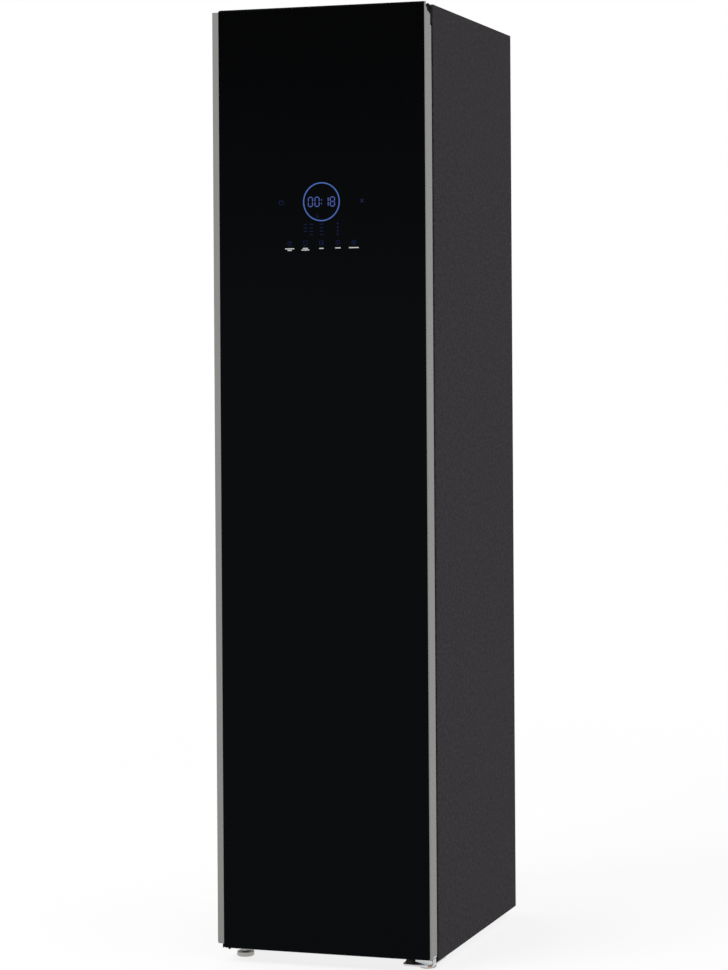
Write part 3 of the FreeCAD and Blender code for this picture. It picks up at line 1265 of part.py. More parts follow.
def door_right_profile():
    """Extrusion on the hinge side, cut away at its top for the hinge arm and at its heel."""
    wall = D.profile_wall
    edge = HALF
    inner = edge - D.right_reach
    cut_from = edge - D.notch_reach
    lip = edge - D.bend / 2
    front_back = GLASS_BACK + D.running_gap
    profile = Piece("door_right_profile")
    profile.pad("z", D.door_low, D.height, rect(edge - D.bend, FRONT, edge, DOOR_BACK))
    profile.pad("z", D.door_low, D.height, rect(GLASS_RIGHT, FRONT, lip, front_back + wall))
    profile.pad("z", D.door_low, D.flange_high, rect(inner, front_back, lip, front_back + wall))
    profile.pad("z", D.door_low, D.height, rect(inner, DOOR_BACK - wall, lip, DOOR_BACK))
    profile.round(D.bend * 2, lambda side: along(side, "z") and near(side.CenterOfMass.x, edge)
                  and near(side.CenterOfMass.y, DOOR_BACK))
    profile.pocket("x", cut_from, edge, [
        *[(FRONT + behind, D.height - below) for behind, below in TOP_CUT],
        (DOOR_BACK, D.height - D.taper_drop), (DOOR_BACK, D.height),
    ])
    heel = FRONT + D.heel_front
    profile.pocket("x", cut_from, edge, [
        (heel, D.door_low), (heel, D.heel_high), (DOOR_BACK - D.heel_slope, D.heel_high),
        (DOOR_BACK, D.heel_high + D.heel_slope), (DOOR_BACK, D.door_low),
    ])
    for low, high in ((D.door_low, D.flange_low), (D.flange_high, D.height)):
        profile.pocket("z", low, high, rect(inner, DOOR_BACK - wall, cut_from + 1, DOOR_BACK))


def cap_planes():
    """Front and back of both end caps, then front and back of the plugs that enter the door."""
    front = FRONT + D.fit_gap
    back = DOOR_BACK - D.inner_skin - D.fit_gap
    return front, back, FRONT + D.cap_wall, back - D.profile_wall


def door_top_cap():
    """Black end cap over the glass, with the upper hinge block and the notch for the hinge arm."""
    front, back, plug_front, plug_back = cap_planes()
    left = GLASS_LEFT + D.fit_gap
    plug_left = -HALF + D.grip_reach + D.cap_inset
    block_left = GLASS_RIGHT - D.hinge_block
    lip_low = D.height - D.cap_lip
    cap = Piece("door_top_cap")
    cap.pad("z", lip_low, D.height, rect(left, front, GLASS_RIGHT - D.fit_gap, back))
    cap.pad("z", lip_low - D.cap_plug, lip_low, rect(plug_left, plug_front, block_left + 1, plug_back))
    cap.pad("z", lip_low - D.hinge_block_high, lip_low,
            rect(block_left, plug_front, GLASS_RIGHT - D.block_inset, plug_back))
    cap.pocket("z", D.notch_floor, D.height,
               rect(block_left + D.arm_room, plug_front + D.arm_room_front, GLASS_RIGHT, DOOR_BACK))
    cap.pocket("z", D.notch_floor - D.upper_pin_drop, D.notch_floor, Disc(PIN_X, PIN_Y, D.bush_round))
    cap.round(D.cap_chamfer, lambda edge: along(edge, "y") and near(edge.CenterOfMass.z, D.height)
              and near(edge.CenterOfMass.x, left), "Chamfer")


def door_bottom_cap():
    """Black end cap behind the glass's foot, with a tab at its left, the lower hinge block and a rest nub."""
    front, back, plug_front, plug_back = cap_planes()
    plug_left = -HALF + D.grip_reach + D.cap_inset
    block_left = GLASS_RIGHT - D.hinge_block
    lip_high = D.door_low + D.bottom_lip
    cap = Piece("door_bottom_cap")
    tab_left = GLASS_LEFT - D.bottom_over
    cap.pad("z", D.door_low, lip_high, rect(tab_left, plug_front, GLASS_RIGHT - D.fit_gap, back))
    cap.pad("z", D.door_low, D.grip_low - D.running_gap,
            rect(tab_left, front, GLASS_LEFT - D.fit_gap, plug_front + D.profile_wall))
    cap.pad("z", lip_high, lip_high + D.cap_plug, rect(plug_left, plug_front, block_left + 1, plug_back))
    cap.pad("z", lip_high, D.door_low + D.hinge_block_low,
            rect(block_left, plug_front, GLASS_RIGHT - D.block_inset, plug_back))
    cap.pad("z", D.door_low - D.nub_drop, D.door_low, Disc(-D.nub_side, FRONT + D.nub_front, D.nub_round))
    cap.pocket("z", D.door_low, D.lower_pin_rise + D.bush_room, Disc(PIN_X, PIN_Y, D.bush_round))


def door_core():
    """Foam core of the door, hollowed for the display module."""
    left = -HALF + D.grip_reach + D.play
    right = HALF - D.right_reach - D.play
    front = GLASS_BACK + D.running_gap
    room = D.module_room
    half_room = D.module_half + room
    core = Piece("door_core")
    core.pad("y", front, DOOR_BACK - D.inner_skin - D.running_gap,
             rect(left, D.core_low, right, D.core_high))
    core.pocket("y", front, front + D.module_thick + 1,
                rect(DIAL_X - half_room, D.module_low - room, DIAL_X + half_room, D.module_high + room))


def door_inner_panel():
    """Moulded rear skin of the door with a raised field that faces the chamber."""
    left = -HALF + D.grip_reach + D.running_gap
    right = HALF - D.right_reach - D.running_gap
    panel = Piece("door_inner_panel")
    panel.pad("y", DOOR_BACK - D.inner_skin, DOOR_BACK,
              rect(left, D.skin_low, right, D.notch_floor - D.play))
    panel.pad("y", DOOR_BACK, DOOR_BACK + D.relief,
              rect(-D.relief_side, D.relief_low, D.relief_side, D.relief_high))
    panel.round(D.inner_skin, lambda edge: near(edge.CenterOfMass.y, DOOR_BACK + D.relief), "Chamfer")


def seal_frame(grow):
    """Outline of the door seal, grown outward by an amount, or shrunk by a negative one."""
    side = D.seal_side + grow
    return rect(-side, D.seal_low - grow, side, D.seal_high + grow)


def door_gasket():
    """Magnetic seal all round the door, just clear of the cabinet, with a thinner outer lip."""
    crest = CAB_FRONT - D.running_gap
    seal = Piece("door_gasket")
    seal.pad("y", DOOR_BACK, DOOR_BACK + D.lip_thick, seal_frame(D.seal_lip), seal_frame(-D.seal_width))
    seal.pad("y", DOOR_BACK, crest, seal_frame(0), seal_frame(-D.seal_width))
    seal.round(D.seal_ease, lambda edge: near(edge.CenterOfMass.y, crest))


def display_module():
    """Lamp housing behind the glass, with wells for the ring, the digits and the touch keys."""
    front = GLASS_BACK + D.running_gap
    well = front + D.window_depth
    half = D.module_half
    half_digit = D.digit_width / 2
    digit_low = D.dial_level - D.digit_line / 2
    module = Piece("display_module", at=(DIAL_X, 0, 0))
    module.pad("y", front, front + D.module_thick, rect(-half, D.module_low, half, D.module_high))
    module.round(D.module_corner, lambda edge: along(edge, "y"))
    module.pocket("y", front, well, Disc(0, D.dial_level, D.ring_outer),
                  Disc(0, D.dial_level, D.ring_outer - D.ring_line))
    digits = [D.digit_pitch * place for place in DIGIT_PLACES]
    module.pocket("y", front, well, *[
        rect(x - half_digit, digit_low, x + half_digit, digit_low + D.digit_line) for x in digits])
    module.pocket("y", front, well, *[
        Disc(D.key_pitch * k, D.key_level, D.key_round) for k in range(-2, 3)])


# ---------------------------------------------------------------- hinges and fasteners


def upper_hinge():
    """Bracket on the top cover whose arm carries a pin down into the door's top cap."""
    low = D.cover_top
    high = low + D.hinge_plate
    left = PIN_X - D.hinge_left
    right = PIN_X + D.hinge_right
    rear = FRONT + D.hinge_rear
    stop = PIN_Y + D.stop_front
    arm_left = PIN_X - D.arm_left
    arm_right = PIN_X + D.arm_right
    bracket = Piece("upper_hinge_bracket")
    bracket.pad("z", low, high, [
        (left, rear), (left, CAB_FRONT + D.arm_behind), (arm_left - D.arm_flare, CAB_FRONT + 1),
        (arm_left, DOOR_BACK), (arm_left, PIN_Y), (arm_right, PIN_Y), (arm_right, stop - 1),
        (right, stop), (right, rear),
    ])
    bracket.pad("z", low, high, Disc(PIN_X, PIN_Y, D.arm_left))
    bracket.pad("z", high - 1, D.height, rect(right - D.ear_thick, stop, right, stop + D.stop_long))
    bracket.pocket("z", low, high, Disc(PIN_X, PIN_Y, D.pin_round),
                   *[Disc(x, y, D.bolt_round) for x, y in upper_bolt_places()])
    keep("upper_hinge_pin", rod("upper_hinge_pin", (PIN_X, PIN_Y, high - D.upper_pin_drop),
                                D.upper_pin_drop, D.pin_round))
    bush_low = D.notch_floor - D.upper_pin_drop
    bush = cut("upper_hinge_bush", rod("upper_bush_body", (PIN_X, PIN_Y, bush_low),
                                       D.upper_pin_drop - D.bush_short, D.bush_round),
               [rod("upper_bush_bore", (PIN_X, PIN_Y, bush_low - 1), D.upper_pin_drop + 2,
                    D.pin_round + D.bore_gap)])
    keep("upper_hinge_bush", bush)


def lower_hinge():
    """Plate under the base and the door, with the lower pin, a rest cone, an upright web and an ear."""
    high = D.base_level
    low = high - D.lower_plate
    left = PIN_X - D.toe_left
    right = PIN_X + D.toe_right
    rear = FRONT + D.hinge_rear
    toe = FRONT + D.toe_front
    corner = D.toe_corner
    bracket = Piece("lower_hinge_bracket")
    bracket.pad("z", low, high, [
        (left, rear), (left, toe + corner), (left + corner / 3, toe + corner / 3),
        (left + corner, toe + D.toe_dip), (PIN_X - D.toe_flat, toe), (right, toe), (right, rear),
    ])
    bracket.round(D.toe_round, lambda edge: along(edge, "z")
                  and edge.CenterOfMass.y < (toe + corner).value + 1)
    bracket.pad("x", right - D.ear_thick, right,
                rect(FRONT + D.ear_front, low + 1, FRONT + D.ear_rear, D.ear_top))
    web_left = PIN_X - D.web_left
    web_rear, web_front = FRONT + D.web_rear, FRONT + D.web_front
    bracket.pad("z", high - 1, D.web_top, [
        (web_left, web_rear), (right - 1, web_front),
        (right - 1, web_front + D.web_thick), (web_left, web_rear + D.web_thick),
    ])
    bracket.pocket("y", web_front - 1, web_rear + D.web_thick + 1, [
        (web_left - 1, high), (PIN_X - D.web_slot_end, high), (web_left - 1, high + D.web_slot)])
    bracket.pocket("z", low, high, Disc(PIN_X, PIN_Y, D.pin_round),
                   Disc(D.foot_side, -D.foot_front, D.foot_stud + D.running_gap * 2),
                   *[Disc(x, y, D.bolt_round) for x, y in lower_bolt_places()])
    bracket.pocket("x", right - D.ear_thick, right,
                   Disc(FRONT + D.ear_screw_y, high + D.ear_screw_rise, D.screw_round))
    shoulder_top = D.door_low - D.bush_seat
    pin = fuse("lower_hinge_pin", [
        rod("lower_pin_core", (PIN_X, PIN_Y, low), D.lower_pin_rise - low, D.pin_round),
        rod("lower_pin_shoulder", (PIN_X, PIN_Y, high), shoulder_top - high, D.pin_shoulder),
    ])
    keep("lower_hinge_pin", pin)
    flange_low = shoulder_top + D.running_gap
    body = fuse("lower_bush_body", [
        rod("lower_bush_flange", (PIN_X, PIN_Y, flange_low), D.door_low - flange_low, D.bush_flange),
        rod("lower_bush_tube", (PIN_X, PIN_Y, flange_low), D.lower_pin_rise + 2 - flange_low, D.bush_round),
    ])
    bore = rod("lower_bush_bore", (PIN_X, PIN_Y, flange_low - 1), D.lower_pin_rise, D.pin_round + D.bore_gap)
    keep("lower_hinge_bush", cut("lower_hinge_bush", body, [bore]))
    keep("door_rest_cone", cone("door_rest_cone", (D.rest_cone_x, FRONT + D.rest_cone_y, high),
                                D.door_low - high - D.rest_gap, D.rest_cone_round, D.rest_cone_tip))


def cabinet_screws():
    """Screws of the rear cover, both hinge brackets and the lower bracket's ear."""
    outer = PANEL_BACK + D.skin
    pieces = []
    spots = [(side, level) for side in (-1, 1) for level in cover_screw_levels()]
    for k, (side, level) in enumerate(spots):
        x = D.cover_screw_x * side
        pieces.append(fuse(f"cover_screw_{k}", [
            rod(f"cover_shank_{k}", (x, outer - D.screw_long, level), D.screw_long, D.screw_round, "y"),
            rod(f"cover_head_{k}", (x, outer, level), BACK - outer, D.screw_head, "y"),
        ]))
    top = D.cover_top + D.hinge_plate
    for k, (x, y) in enumerate(upper_bolt_places()):
        pieces.append(fuse(f"upper_bolt_{k}", [
            rod(f"upper_bolt_shank_{k}", (x, y, top - D.bolt_long), D.bolt_long, D.bolt_round),
            rod(f"upper_bolt_head_{k}", (x, y, top), D.bolt_rise, D.bolt_head),
        ]))
    low = D.base_level - D.lower_plate
    for k, (x, y) in enumerate(lower_bolt_places()):
        pieces.append(fuse(f"lower_bolt_{k}", [
            rod(f"lower_bolt_shank_{k}", (x, y, low), D.bolt_long, D.bolt_round),
            rod(f"lower_bolt_head_{k}", (x, y, low - D.bolt_rise), D.bolt_rise, D.bolt_head),
        ]))
    right = PIN_X + D.toe_right
    spot = (right - D.ear_thick, FRONT + D.ear_screw_y, D.base_level + D.ear_screw_rise)
    pieces.append(fuse("ear_screw", [
        rod("ear_screw_shank", spot, D.ear_thick, D.screw_round, "x"),
        rod("ear_screw_head", (right, spot[1], spot[2]), D.ear_head, D.ear_screw_head, "x"),
    ]))
    keep("cabinet_screws", group("cabinet_screws", pieces))


# ---------------------------------------------------------------- assembly


def build():
    make_sheet()
    side_panel("left_side_panel", -1)
    side_panel("right_side_panel", 1)
    top_cover()
    rear_cover()
    base_frame()
    front_cross_rail()
    feet()
    inner_liner()
    insulation()
    tank_bay()
    tank("water_tank", -BAY_CENTRE)
    tank("drain_tank", BAY_CENTRE)
    shelf()
    lint_filter()
    air_outlet_grille()
    steam_nozzle()
    lamp_lens()
    hanger_rail()
    rail_carriage()
    rail_guides()
    drive_pinion()
    drive_motor()
    for label, centre in hanger_places().items():
        hanger(label, centre)
    air_duct_case()
    finned_coil("evaporator", D.cold_low)
    finned_coil("condenser", D.hot_low)
    fan_housing()
    fan_impeller()
    fan_motor()
    compressor()
    compressor_mounts()
    refrigerant_pipes()
    steam_generator()
    steam_hose()
    feed_pump()
    feed_hose()
    control_board()
    power_inlet()
    door_glass()
    door_left_profile()
    door_right_profile()
    door_top_cap()
    door_bottom_cap()
    door_core()
    door_inner_panel()
    door_gasket()
    display_module()
    upper_hinge()
    lower_hinge()
    cabinet_screws()
    DOC.recompute()


def check():
    """Stops with a message if any object failed, a cut took nothing away or a sub-part is no solid."""
    for thing in DOC.Objects:
        if "Invalid" in thing.State or "Error" in thing.State:
            raise RuntimeError(f"{thing.Name} is {thing.State}")
        if thing.TypeId in ("PartDesign::Pocket", "PartDesign::Groove"):
            before = thing.BaseFeature.Shape.Volume
            if thing.Shape.Volume > before - 1e-3:
                raise RuntimeError(f"{thing.Name} cuts nothing")
    for label, thing in PARTS.items():
        shape = thing.Shape
        if shape.isNull() or not shape.isValid() or not shape.Solids:
            raise RuntimeError(f"{label} has no valid shape")


def export():
    """Writes each sub-part to its own file and prints its size."""
    os.makedirs("parts", exist_ok=True)
    for label, thing in sorted(PARTS.items()):
        thing.Shape.exportStep(os.path.join("parts", f"{label}.step"))
        box = thing.Shape.BoundBox
        print(f"{label}: {len(thing.Shape.Solids)} solids, x {box.XMin:.1f}..{box.XMax:.1f}, "
              f"y {box.YMin:.1f}..{box.YMax:.1f}, z {box.ZMin:.1f}..{box.ZMax:.1f}")
    print(f"{len(PARTS)} sub-parts")


build()
check()
export()
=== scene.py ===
"""Clothes care steam cabinet: finishes, the lit display, small fittings, stage, light and camera."""
import json
import math

import bmesh
import bpy
from mathutils import Matrix, Vector


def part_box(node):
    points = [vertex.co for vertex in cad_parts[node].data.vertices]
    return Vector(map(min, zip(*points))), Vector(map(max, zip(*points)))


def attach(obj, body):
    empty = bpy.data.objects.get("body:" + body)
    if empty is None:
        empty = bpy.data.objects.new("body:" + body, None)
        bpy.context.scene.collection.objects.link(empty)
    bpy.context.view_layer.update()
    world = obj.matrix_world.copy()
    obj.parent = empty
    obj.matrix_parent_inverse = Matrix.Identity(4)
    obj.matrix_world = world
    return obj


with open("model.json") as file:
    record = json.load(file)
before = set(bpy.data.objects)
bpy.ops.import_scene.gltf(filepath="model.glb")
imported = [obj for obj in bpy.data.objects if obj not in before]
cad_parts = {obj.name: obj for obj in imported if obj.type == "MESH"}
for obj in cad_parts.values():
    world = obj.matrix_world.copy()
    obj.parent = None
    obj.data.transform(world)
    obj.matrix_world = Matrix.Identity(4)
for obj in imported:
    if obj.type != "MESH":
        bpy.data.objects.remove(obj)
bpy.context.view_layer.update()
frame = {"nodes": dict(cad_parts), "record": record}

MM = 0.001

# The display's marks lie on the door's glass, about a dial that is a little to the right of the glass's
# middle and this high above the floor.
GLASS_LOW, GLASS_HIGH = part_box("door_glass")
GLASS_FACE = GLASS_LOW.y
DIAL_ASIDE, DIAL_HIGH = 0.45 * MM, 1473.9 * MM
DIAL = Vector(((GLASS_LOW.x + GLASS_HIGH.x) / 2 + DIAL_ASIDE, GLASS_FACE, DIAL_HIGH))


# ---------------------------------------------------------------- shader nodes

WHITE, BLACK = (1.0, 1.0, 1.0, 1.0), (0.0, 0.0, 0.0, 1.0)


def seen(red, green, blue):
    """A linear colour from the three numbers of a screen colour, each 0 to 255."""
    def linear(value):
        share = value / 255
        return share / 12.92 if share <= 0.04045 else ((share + 0.055) / 1.055) ** 2.4
    return (linear(red), linear(green), linear(blue), 1.0)


def shaded(colour, factor):
    """A colour made darker or lighter by a factor."""
    return tuple(min(1.0, part * factor) for part in colour[:3]) + (1.0,)


def put(tree, node, values):
    """Sets a node's inputs, by name or number: an output joins it, anything else is its value."""
    for key, value in values.items():
        if isinstance(value, bpy.types.NodeSocket):
            tree.links.new(value, node.inputs[key])
        else:
            node.inputs[key].default_value = value


def add_node(tree, kind, settings=None, **values):
    """A new node of a kind, with its settings and its named inputs."""
    node = tree.nodes.new(kind)
    for key, value in (settings or {}).items():
        setattr(node, key, value)
    put(tree, node, values)
    return node


class Finish:
    """A material on a Principled shader, with short calls for the nodes that vary it."""

    def __init__(self, name, colour, roughness, metallic=0.0, level=0.5, **inputs):
        self.name, self.base = name, colour
        self.material = bpy.data.materials.new(name)
        self.material.use_nodes = True
        self.tree = self.material.node_tree
        self.shader = self.tree.nodes["Principled BSDF"]
        self.shade({
            "Base Color": colour, "Roughness": roughness, "Metallic": metallic,
            "Specular IOR Level": level, **inputs,
        })
        self.place = self.node("ShaderNodeTexCoord").outputs["Object"]

    def shade(self, inputs):
        """Sets or joins inputs of the shader."""
        put(self.tree, self.shader, inputs)

    def node(self, kind, settings=None, **values):
        """A new node in this material."""
        return add_node(self.tree, kind, settings, **values)

    def stretched(self, x, y, z):
        """The piece's own coordinates, scaled along each axis."""
        return self.node("ShaderNodeMapping", Vector=self.place, Scale=(x, y, z)).outputs["Vector"]

    def noise(self, scale, detail=3.0, stretch=(1, 1, 1), rough=0.55):
        """Soft uneven patches."""
        return self.node("ShaderNodeTexNoise", Vector=self.stretched(*stretch), Scale=scale,
                         Detail=detail, Roughness=rough).outputs["Fac"]

    def cells(self, scale, stretch=(1, 1, 1)):
        """Closed cells, each growing from its middle to its edge."""
        return self.node("ShaderNodeTexVoronoi", Vector=self.stretched(*stretch),
                         Scale=scale).outputs["Distance"]

    def bands(self, scale, distortion):
        """Level bands, one above the other."""
        return self.node("ShaderNodeTexWave", {"bands_direction": "Z"}, Vector=self.place,
                         Scale=scale, Distortion=distortion).outputs["Fac"]

    def mapped(self, factor, low, high, start=0.3, end=0.7):
        """A factor's span from start to end, stretched to low ... high."""
        return self.node("ShaderNodeMapRange", **{
            "Value": factor, "From Min": start, "From Max": end, "To Min": low, "To Max": high,
        }).outputs["Result"]

    def varied(self, colour, factor, dark, light, start=0.3, end=0.7):
        """A colour that goes from its dark factor to its light factor over the span."""
        mix = self.node("ShaderNodeMix", {"data_type": "RGBA"},
                        Factor=self.mapped(factor, 0.0, 1.0, start, end))
        low, high = (socket for socket in mix.inputs if socket.type == "RGBA")
        low.default_value = shaded(colour, dark)
        high.default_value = shaded(colour, light)
        return next(socket for socket in mix.outputs if socket.type == "RGBA")

    def tint(self, factor, dark, light, start=0.3, end=0.7):
        """The base colour varies between two factors of itself."""
        self.shade({"Base Color": self.varied(self.base, factor, dark, light, start, end)})

    def sheen(self, factor, low, high):
        """The roughness varies between two values."""
        self.shade({"Roughness": self.mapped(factor, low, high)})

    def relief(self, height, depth, strength):
        """Bump of a depth in metres; a second call lies on top of the first."""
        bump = self.node("ShaderNodeBump", Height=height, Distance=depth, Strength=strength)
        under = self.shader.inputs["Normal"].links
        if under:
            put(self.tree, bump, {"Normal": under[0].from_socket})
        self.shade({"Normal": bump.outputs["Normal"]})


# ---------------------------------------------------------------- finishes

# How much less and more than its mean roughness a brushed or moulded face has in places.
SMOOTHER, ROUGHER = 0.06, 0.08


def casing_paint():
    """Charcoal coated sheet with a fine leather-like emboss, longer upright than across."""
    paint = Finish("casing_paint", seen(52, 49, 52), 0.62, level=0.01)
    emboss = paint.noise(190, detail=4, stretch=(0.6, 0.6, 0.8), rough=0.6)
    paint.tint(emboss, dark=0.6, light=1.4)
    paint.sheen(emboss, low=0.55, high=0.7)
    paint.relief(emboss, 0.4 * MM, strength=0.6)
    paint.relief(paint.noise(900, detail=2), 0.08 * MM, strength=0.4)
    return paint


def black_glass():
    """Polished glass, printed black behind; its base colour is paler low down than at its top, a painted
    reflection of the pale floor.
    """
    glass = Finish("black_glass", seen(7, 8, 10), 0.04, level=0.012)
    height = glass.node("ShaderNodeSeparateXYZ", Vector=glass.place).outputs["Z"]
    # Painted reflection: the base colour is full below 1.2 m and falls to 0.3 of it above 1.8 m, standing
    # in for the floor seen in the glass.
    glass.tint(height, dark=1.0, light=0.3, start=1.2, end=1.8)
    glass.sheen(glass.noise(30), low=0.03, high=0.07)
    return glass


def brushed(name, colour, roughness, lines=(1, 1, 0.006), scale=2600, metallic=1.0, depth=0.02 * MM):
    """Metal with fine lines along the axis that has the smallest number in lines."""
    metal = Finish(name, colour, roughness, metallic)
    grain = metal.noise(scale, detail=2, stretch=lines)
    metal.tint(grain, dark=0.93, light=1.07)
    metal.sheen(grain, roughness - SMOOTHER, roughness + ROUGHER)
    metal.relief(grain, depth, strength=0.35)
    return metal


def moulded(name, colour, roughness, level=0.3, grain=1400, depth=0.05 * MM):
    """Moulded plastic with a fine spark-eroded grain and slightly uneven gloss."""
    plastic = Finish(name, colour, roughness, level=level)
    plastic.tint(plastic.noise(22), dark=0.96, light=1.03)
    plastic.sheen(plastic.noise(90), roughness - SMOOTHER, roughness + ROUGHER)
    plastic.relief(plastic.noise(grain, detail=2), depth, strength=0.4)
    return plastic


def galvanised():
    """Zinc-coated sheet with large, soft crystals."""
    sheet = Finish("galvanised", seen(168, 170, 172), 0.42, metallic=0.85)
    crystals = sheet.cells(95, stretch=(1, 0.2, 1))
    sheet.tint(crystals, dark=0.86, light=1.08, start=0.1, end=0.7)
    sheet.sheen(sheet.noise(60), low=0.34, high=0.52)
    sheet.relief(sheet.noise(500, detail=2), 0.03 * MM, strength=0.3)
    return sheet


def foam():
    """Cut insulation foam: open cells and slightly yellowed."""
    block = Finish("foam", seen(226, 220, 196), 0.9, level=0.1)
    block.tint(block.noise(18, detail=4), dark=0.88, light=1.05)
    block.relief(block.cells(420), 0.5 * MM, strength=0.6)
    return block


def rubber(name, colour):
    """Matt rubber, a little dusty."""
    soft = Finish(name, colour, 0.72, level=0.05)
    soft.tint(soft.noise(40, detail=4), dark=0.8, light=1.25)
    soft.sheen(soft.noise(160, detail=2), low=0.62, high=0.82)
    soft.relief(soft.noise(1600, detail=2), 0.05 * MM, strength=0.4)
    return soft


def ribbed_hose():
    """Black hose with rings one above the other."""
    hose = Finish("hose_rubber", seen(34, 34, 36), 0.6, level=0.25)
    rings = hose.bands(90, distortion=0.3)
    hose.tint(rings, dark=0.75, light=1.2)
    hose.relief(rings, 0.4 * MM, strength=0.6)
    return hose


def copper():
    """Drawn copper pipe, duller where it is tarnished."""
    pipe = Finish("copper", seen(196, 130, 98), 0.3, metallic=1.0)
    tarnish = pipe.noise(55, detail=5)
    pipe.tint(tarnish, dark=0.62, light=1.1)
    pipe.sheen(tarnish, low=0.5, high=0.24)
    pipe.relief(pipe.noise(700, detail=2), 0.03 * MM, strength=0.3)
    return pipe


def fins():
    """Stacked thin fins, with fine pressed louvres."""
    stack = Finish("fins", seen(190, 192, 194), 0.4, metallic=0.9)
    waves = stack.bands(260, distortion=0.4)
    stack.tint(waves, dark=0.8, light=1.08)
    stack.relief(waves, 0.2 * MM, strength=0.5)
    return stack


def gloss_paint():
    """Dipped black paint on a pressed steel shell, with orange peel."""
    shell = Finish("shell_paint", seen(26, 26, 27), 0.25, level=0.4)
    shell.tint(shell.noise(14), dark=0.75, light=1.3)
    shell.relief(shell.noise(180, detail=2), 0.25 * MM, strength=0.35)
    return shell


def tank_plastic():
    """Smoke-tinted clear plastic that shows some light through."""
    tank = Finish("tank_plastic", seen(112, 128, 140), 0.16,
                  **{"Transmission Weight": 0.35, "IOR": 1.49})
    tank.tint(tank.noise(9), dark=0.85, light=1.1)
    tank.sheen(tank.noise(70), low=0.1, high=0.24)
    tank.relief(tank.noise(240, detail=2), 0.06 * MM, strength=0.3)
    return tank


def frosted_lens():
    """White lens with a pressed pattern of small cells."""
    lens = Finish("lens", seen(238, 240, 238), 0.5, level=0.4,
                  **{"Subsurface Weight": 0.2, "Subsurface Scale": 4 * MM})
    lens.tint(lens.noise(25, detail=2), dark=0.94, light=1.04)
    lens.relief(lens.cells(520), 0.2 * MM, strength=0.5)
    return lens


def circuit_board():
    """Varnished green board with tracks that run square to each other."""
    board = Finish("board", seen(38, 96, 60), 0.35)
    tracks = board.node("ShaderNodeTexBrick", {"offset": 0.37, "squash": 0.6}, Vector=board.place,
                        Scale=110, **{"Mortar Size": 0.035}).outputs["Fac"]
    board.tint(tracks, dark=1.0, light=1.55, start=0.0, end=1.0)
    board.sheen(board.noise(60), low=0.28, high=0.42)
    board.relief(tracks, 0.1 * MM, strength=0.5)
    return board


def lit(name, colour):
    """A lit mark behind the glass: a little brighter in places, as from separate diodes."""
    mark = Finish(name, BLACK, 0.5, level=0.0)
    glow = mark.varied(colour, mark.noise(160, detail=2), dark=0.9, light=1.1)
    mark.shade({"Emission Color": glow, "Emission Strength": 1.0})
    return mark


def printed():
    """White ink on glass."""
    ink = Finish("caption_ink", seen(180, 180, 177), 0.6, level=0.2)
    ink.tint(ink.noise(900), dark=0.75, light=1.1)
    ink.relief(ink.noise(1500, detail=2), 0.03 * MM, strength=0.3)
    return ink


def make_looks():
    """One material for each of the record's material slots, under the slot's name."""
    finishes = (
        casing_paint(),
        black_glass(),
        brushed("grip_aluminium", seen(123, 124, 121), 0.42, metallic=0.3),
        moulded("black_plastic", seen(10, 10, 11), 0.6, level=0.04),
        moulded("liner_plastic", seen(206, 209, 212), 0.38, level=0.4, grain=1100, depth=0.06 * MM),
        moulded("grey_plastic", seen(98, 101, 105), 0.5),
        moulded("door_skin", seen(188, 192, 196), 0.42, level=0.4, grain=900, depth=0.08 * MM),
        moulded("hinge_black", seen(9, 9, 10), 0.5, level=0.05, grain=700),
        brushed("hinge_steel", seen(206, 208, 210), 0.22, lines=(1, 0.02, 1), scale=1800),
        brushed("cone_steel", seen(66, 63, 54), 0.45, lines=(1, 1, 0.05), scale=1500, metallic=0.6),
        brushed("bright_steel", seen(214, 215, 217), 0.16, lines=(0.02, 1, 1), scale=1800, depth=0.01 * MM),
        galvanised(),
        foam(),
        rubber("seal_rubber", seen(9, 9, 9)),
        ribbed_hose(),
        copper(),
        fins(),
        gloss_paint(),
        tank_plastic(),
        frosted_lens(),
        circuit_board(),
        moulded("display_plastic", seen(30, 30, 33), 0.6, level=0.2),
        moulded("gear_plastic", seen(232, 229, 220), 0.45, level=0.4),
        moulded("hanger_plastic", seen(44, 44, 47), 0.4, level=0.35),
        brushed("foot_steel", seen(166, 164, 159), 0.12, lines=(1, 1, 0.4), scale=1400, depth=0.01 * MM),
    )
    return {finish.name: finish.material for finish in finishes}


# ---------------------------------------------------------------- shapes

# How far the marks stand out of the glass; and in millimetres, how wide an outline's line is, and how
# much wider than that it is towards a corner.
MARK_RISE = 0.15 * MM
OUTLINE_LINE, OUTLINE_MITRE = 0.7, 1.2


def finished(name, mesh, body, material):
    """A mesh made into a piece: it gets its material and rides on a body."""
    data = bpy.data.meshes.new(name)
    bmesh.ops.recalc_face_normals(mesh, faces=mesh.faces)
    mesh.to_mesh(data)
    mesh.free()
    data.materials.append(material)
    piece = bpy.data.objects.new(name, data)
    bpy.context.scene.collection.objects.link(piece)
    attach(piece, body)
    return piece


def around(centre, radius, turn):
    """The point of a circle at a turn in radians."""
    return (centre[0] + radius * math.cos(turn), centre[1] + radius * math.sin(turn))


def ring_points(centre, radius, count):
    """Points all the way round a circle."""
    return [around(centre, radius, math.tau * k / count) for k in range(count)]


def arc_points(centre, radius, start, end, count):
    """Points from one end of an arc to the other, with angles in degrees."""
    turns = [math.radians(start + (end - start) * k / count) for k in range(count + 1)]
    return [around(centre, radius, turn) for turn in turns]


def on_glass(across, up, rise=0.0):
    """A place on the glass, from distances in millimetres to the right of and above the dial's centre."""
    return Vector((DIAL.x + across * MM, GLASS_FACE - rise, DIAL.z + up * MM))


def join(mesh, near, far, closed=True):
    """Faces between two lines of as many points."""
    count = len(near)
    for k in range(count if closed else count - 1):
        after = (k + 1) % count
        mesh.faces.new((near[k], near[after], far[after], far[k]))


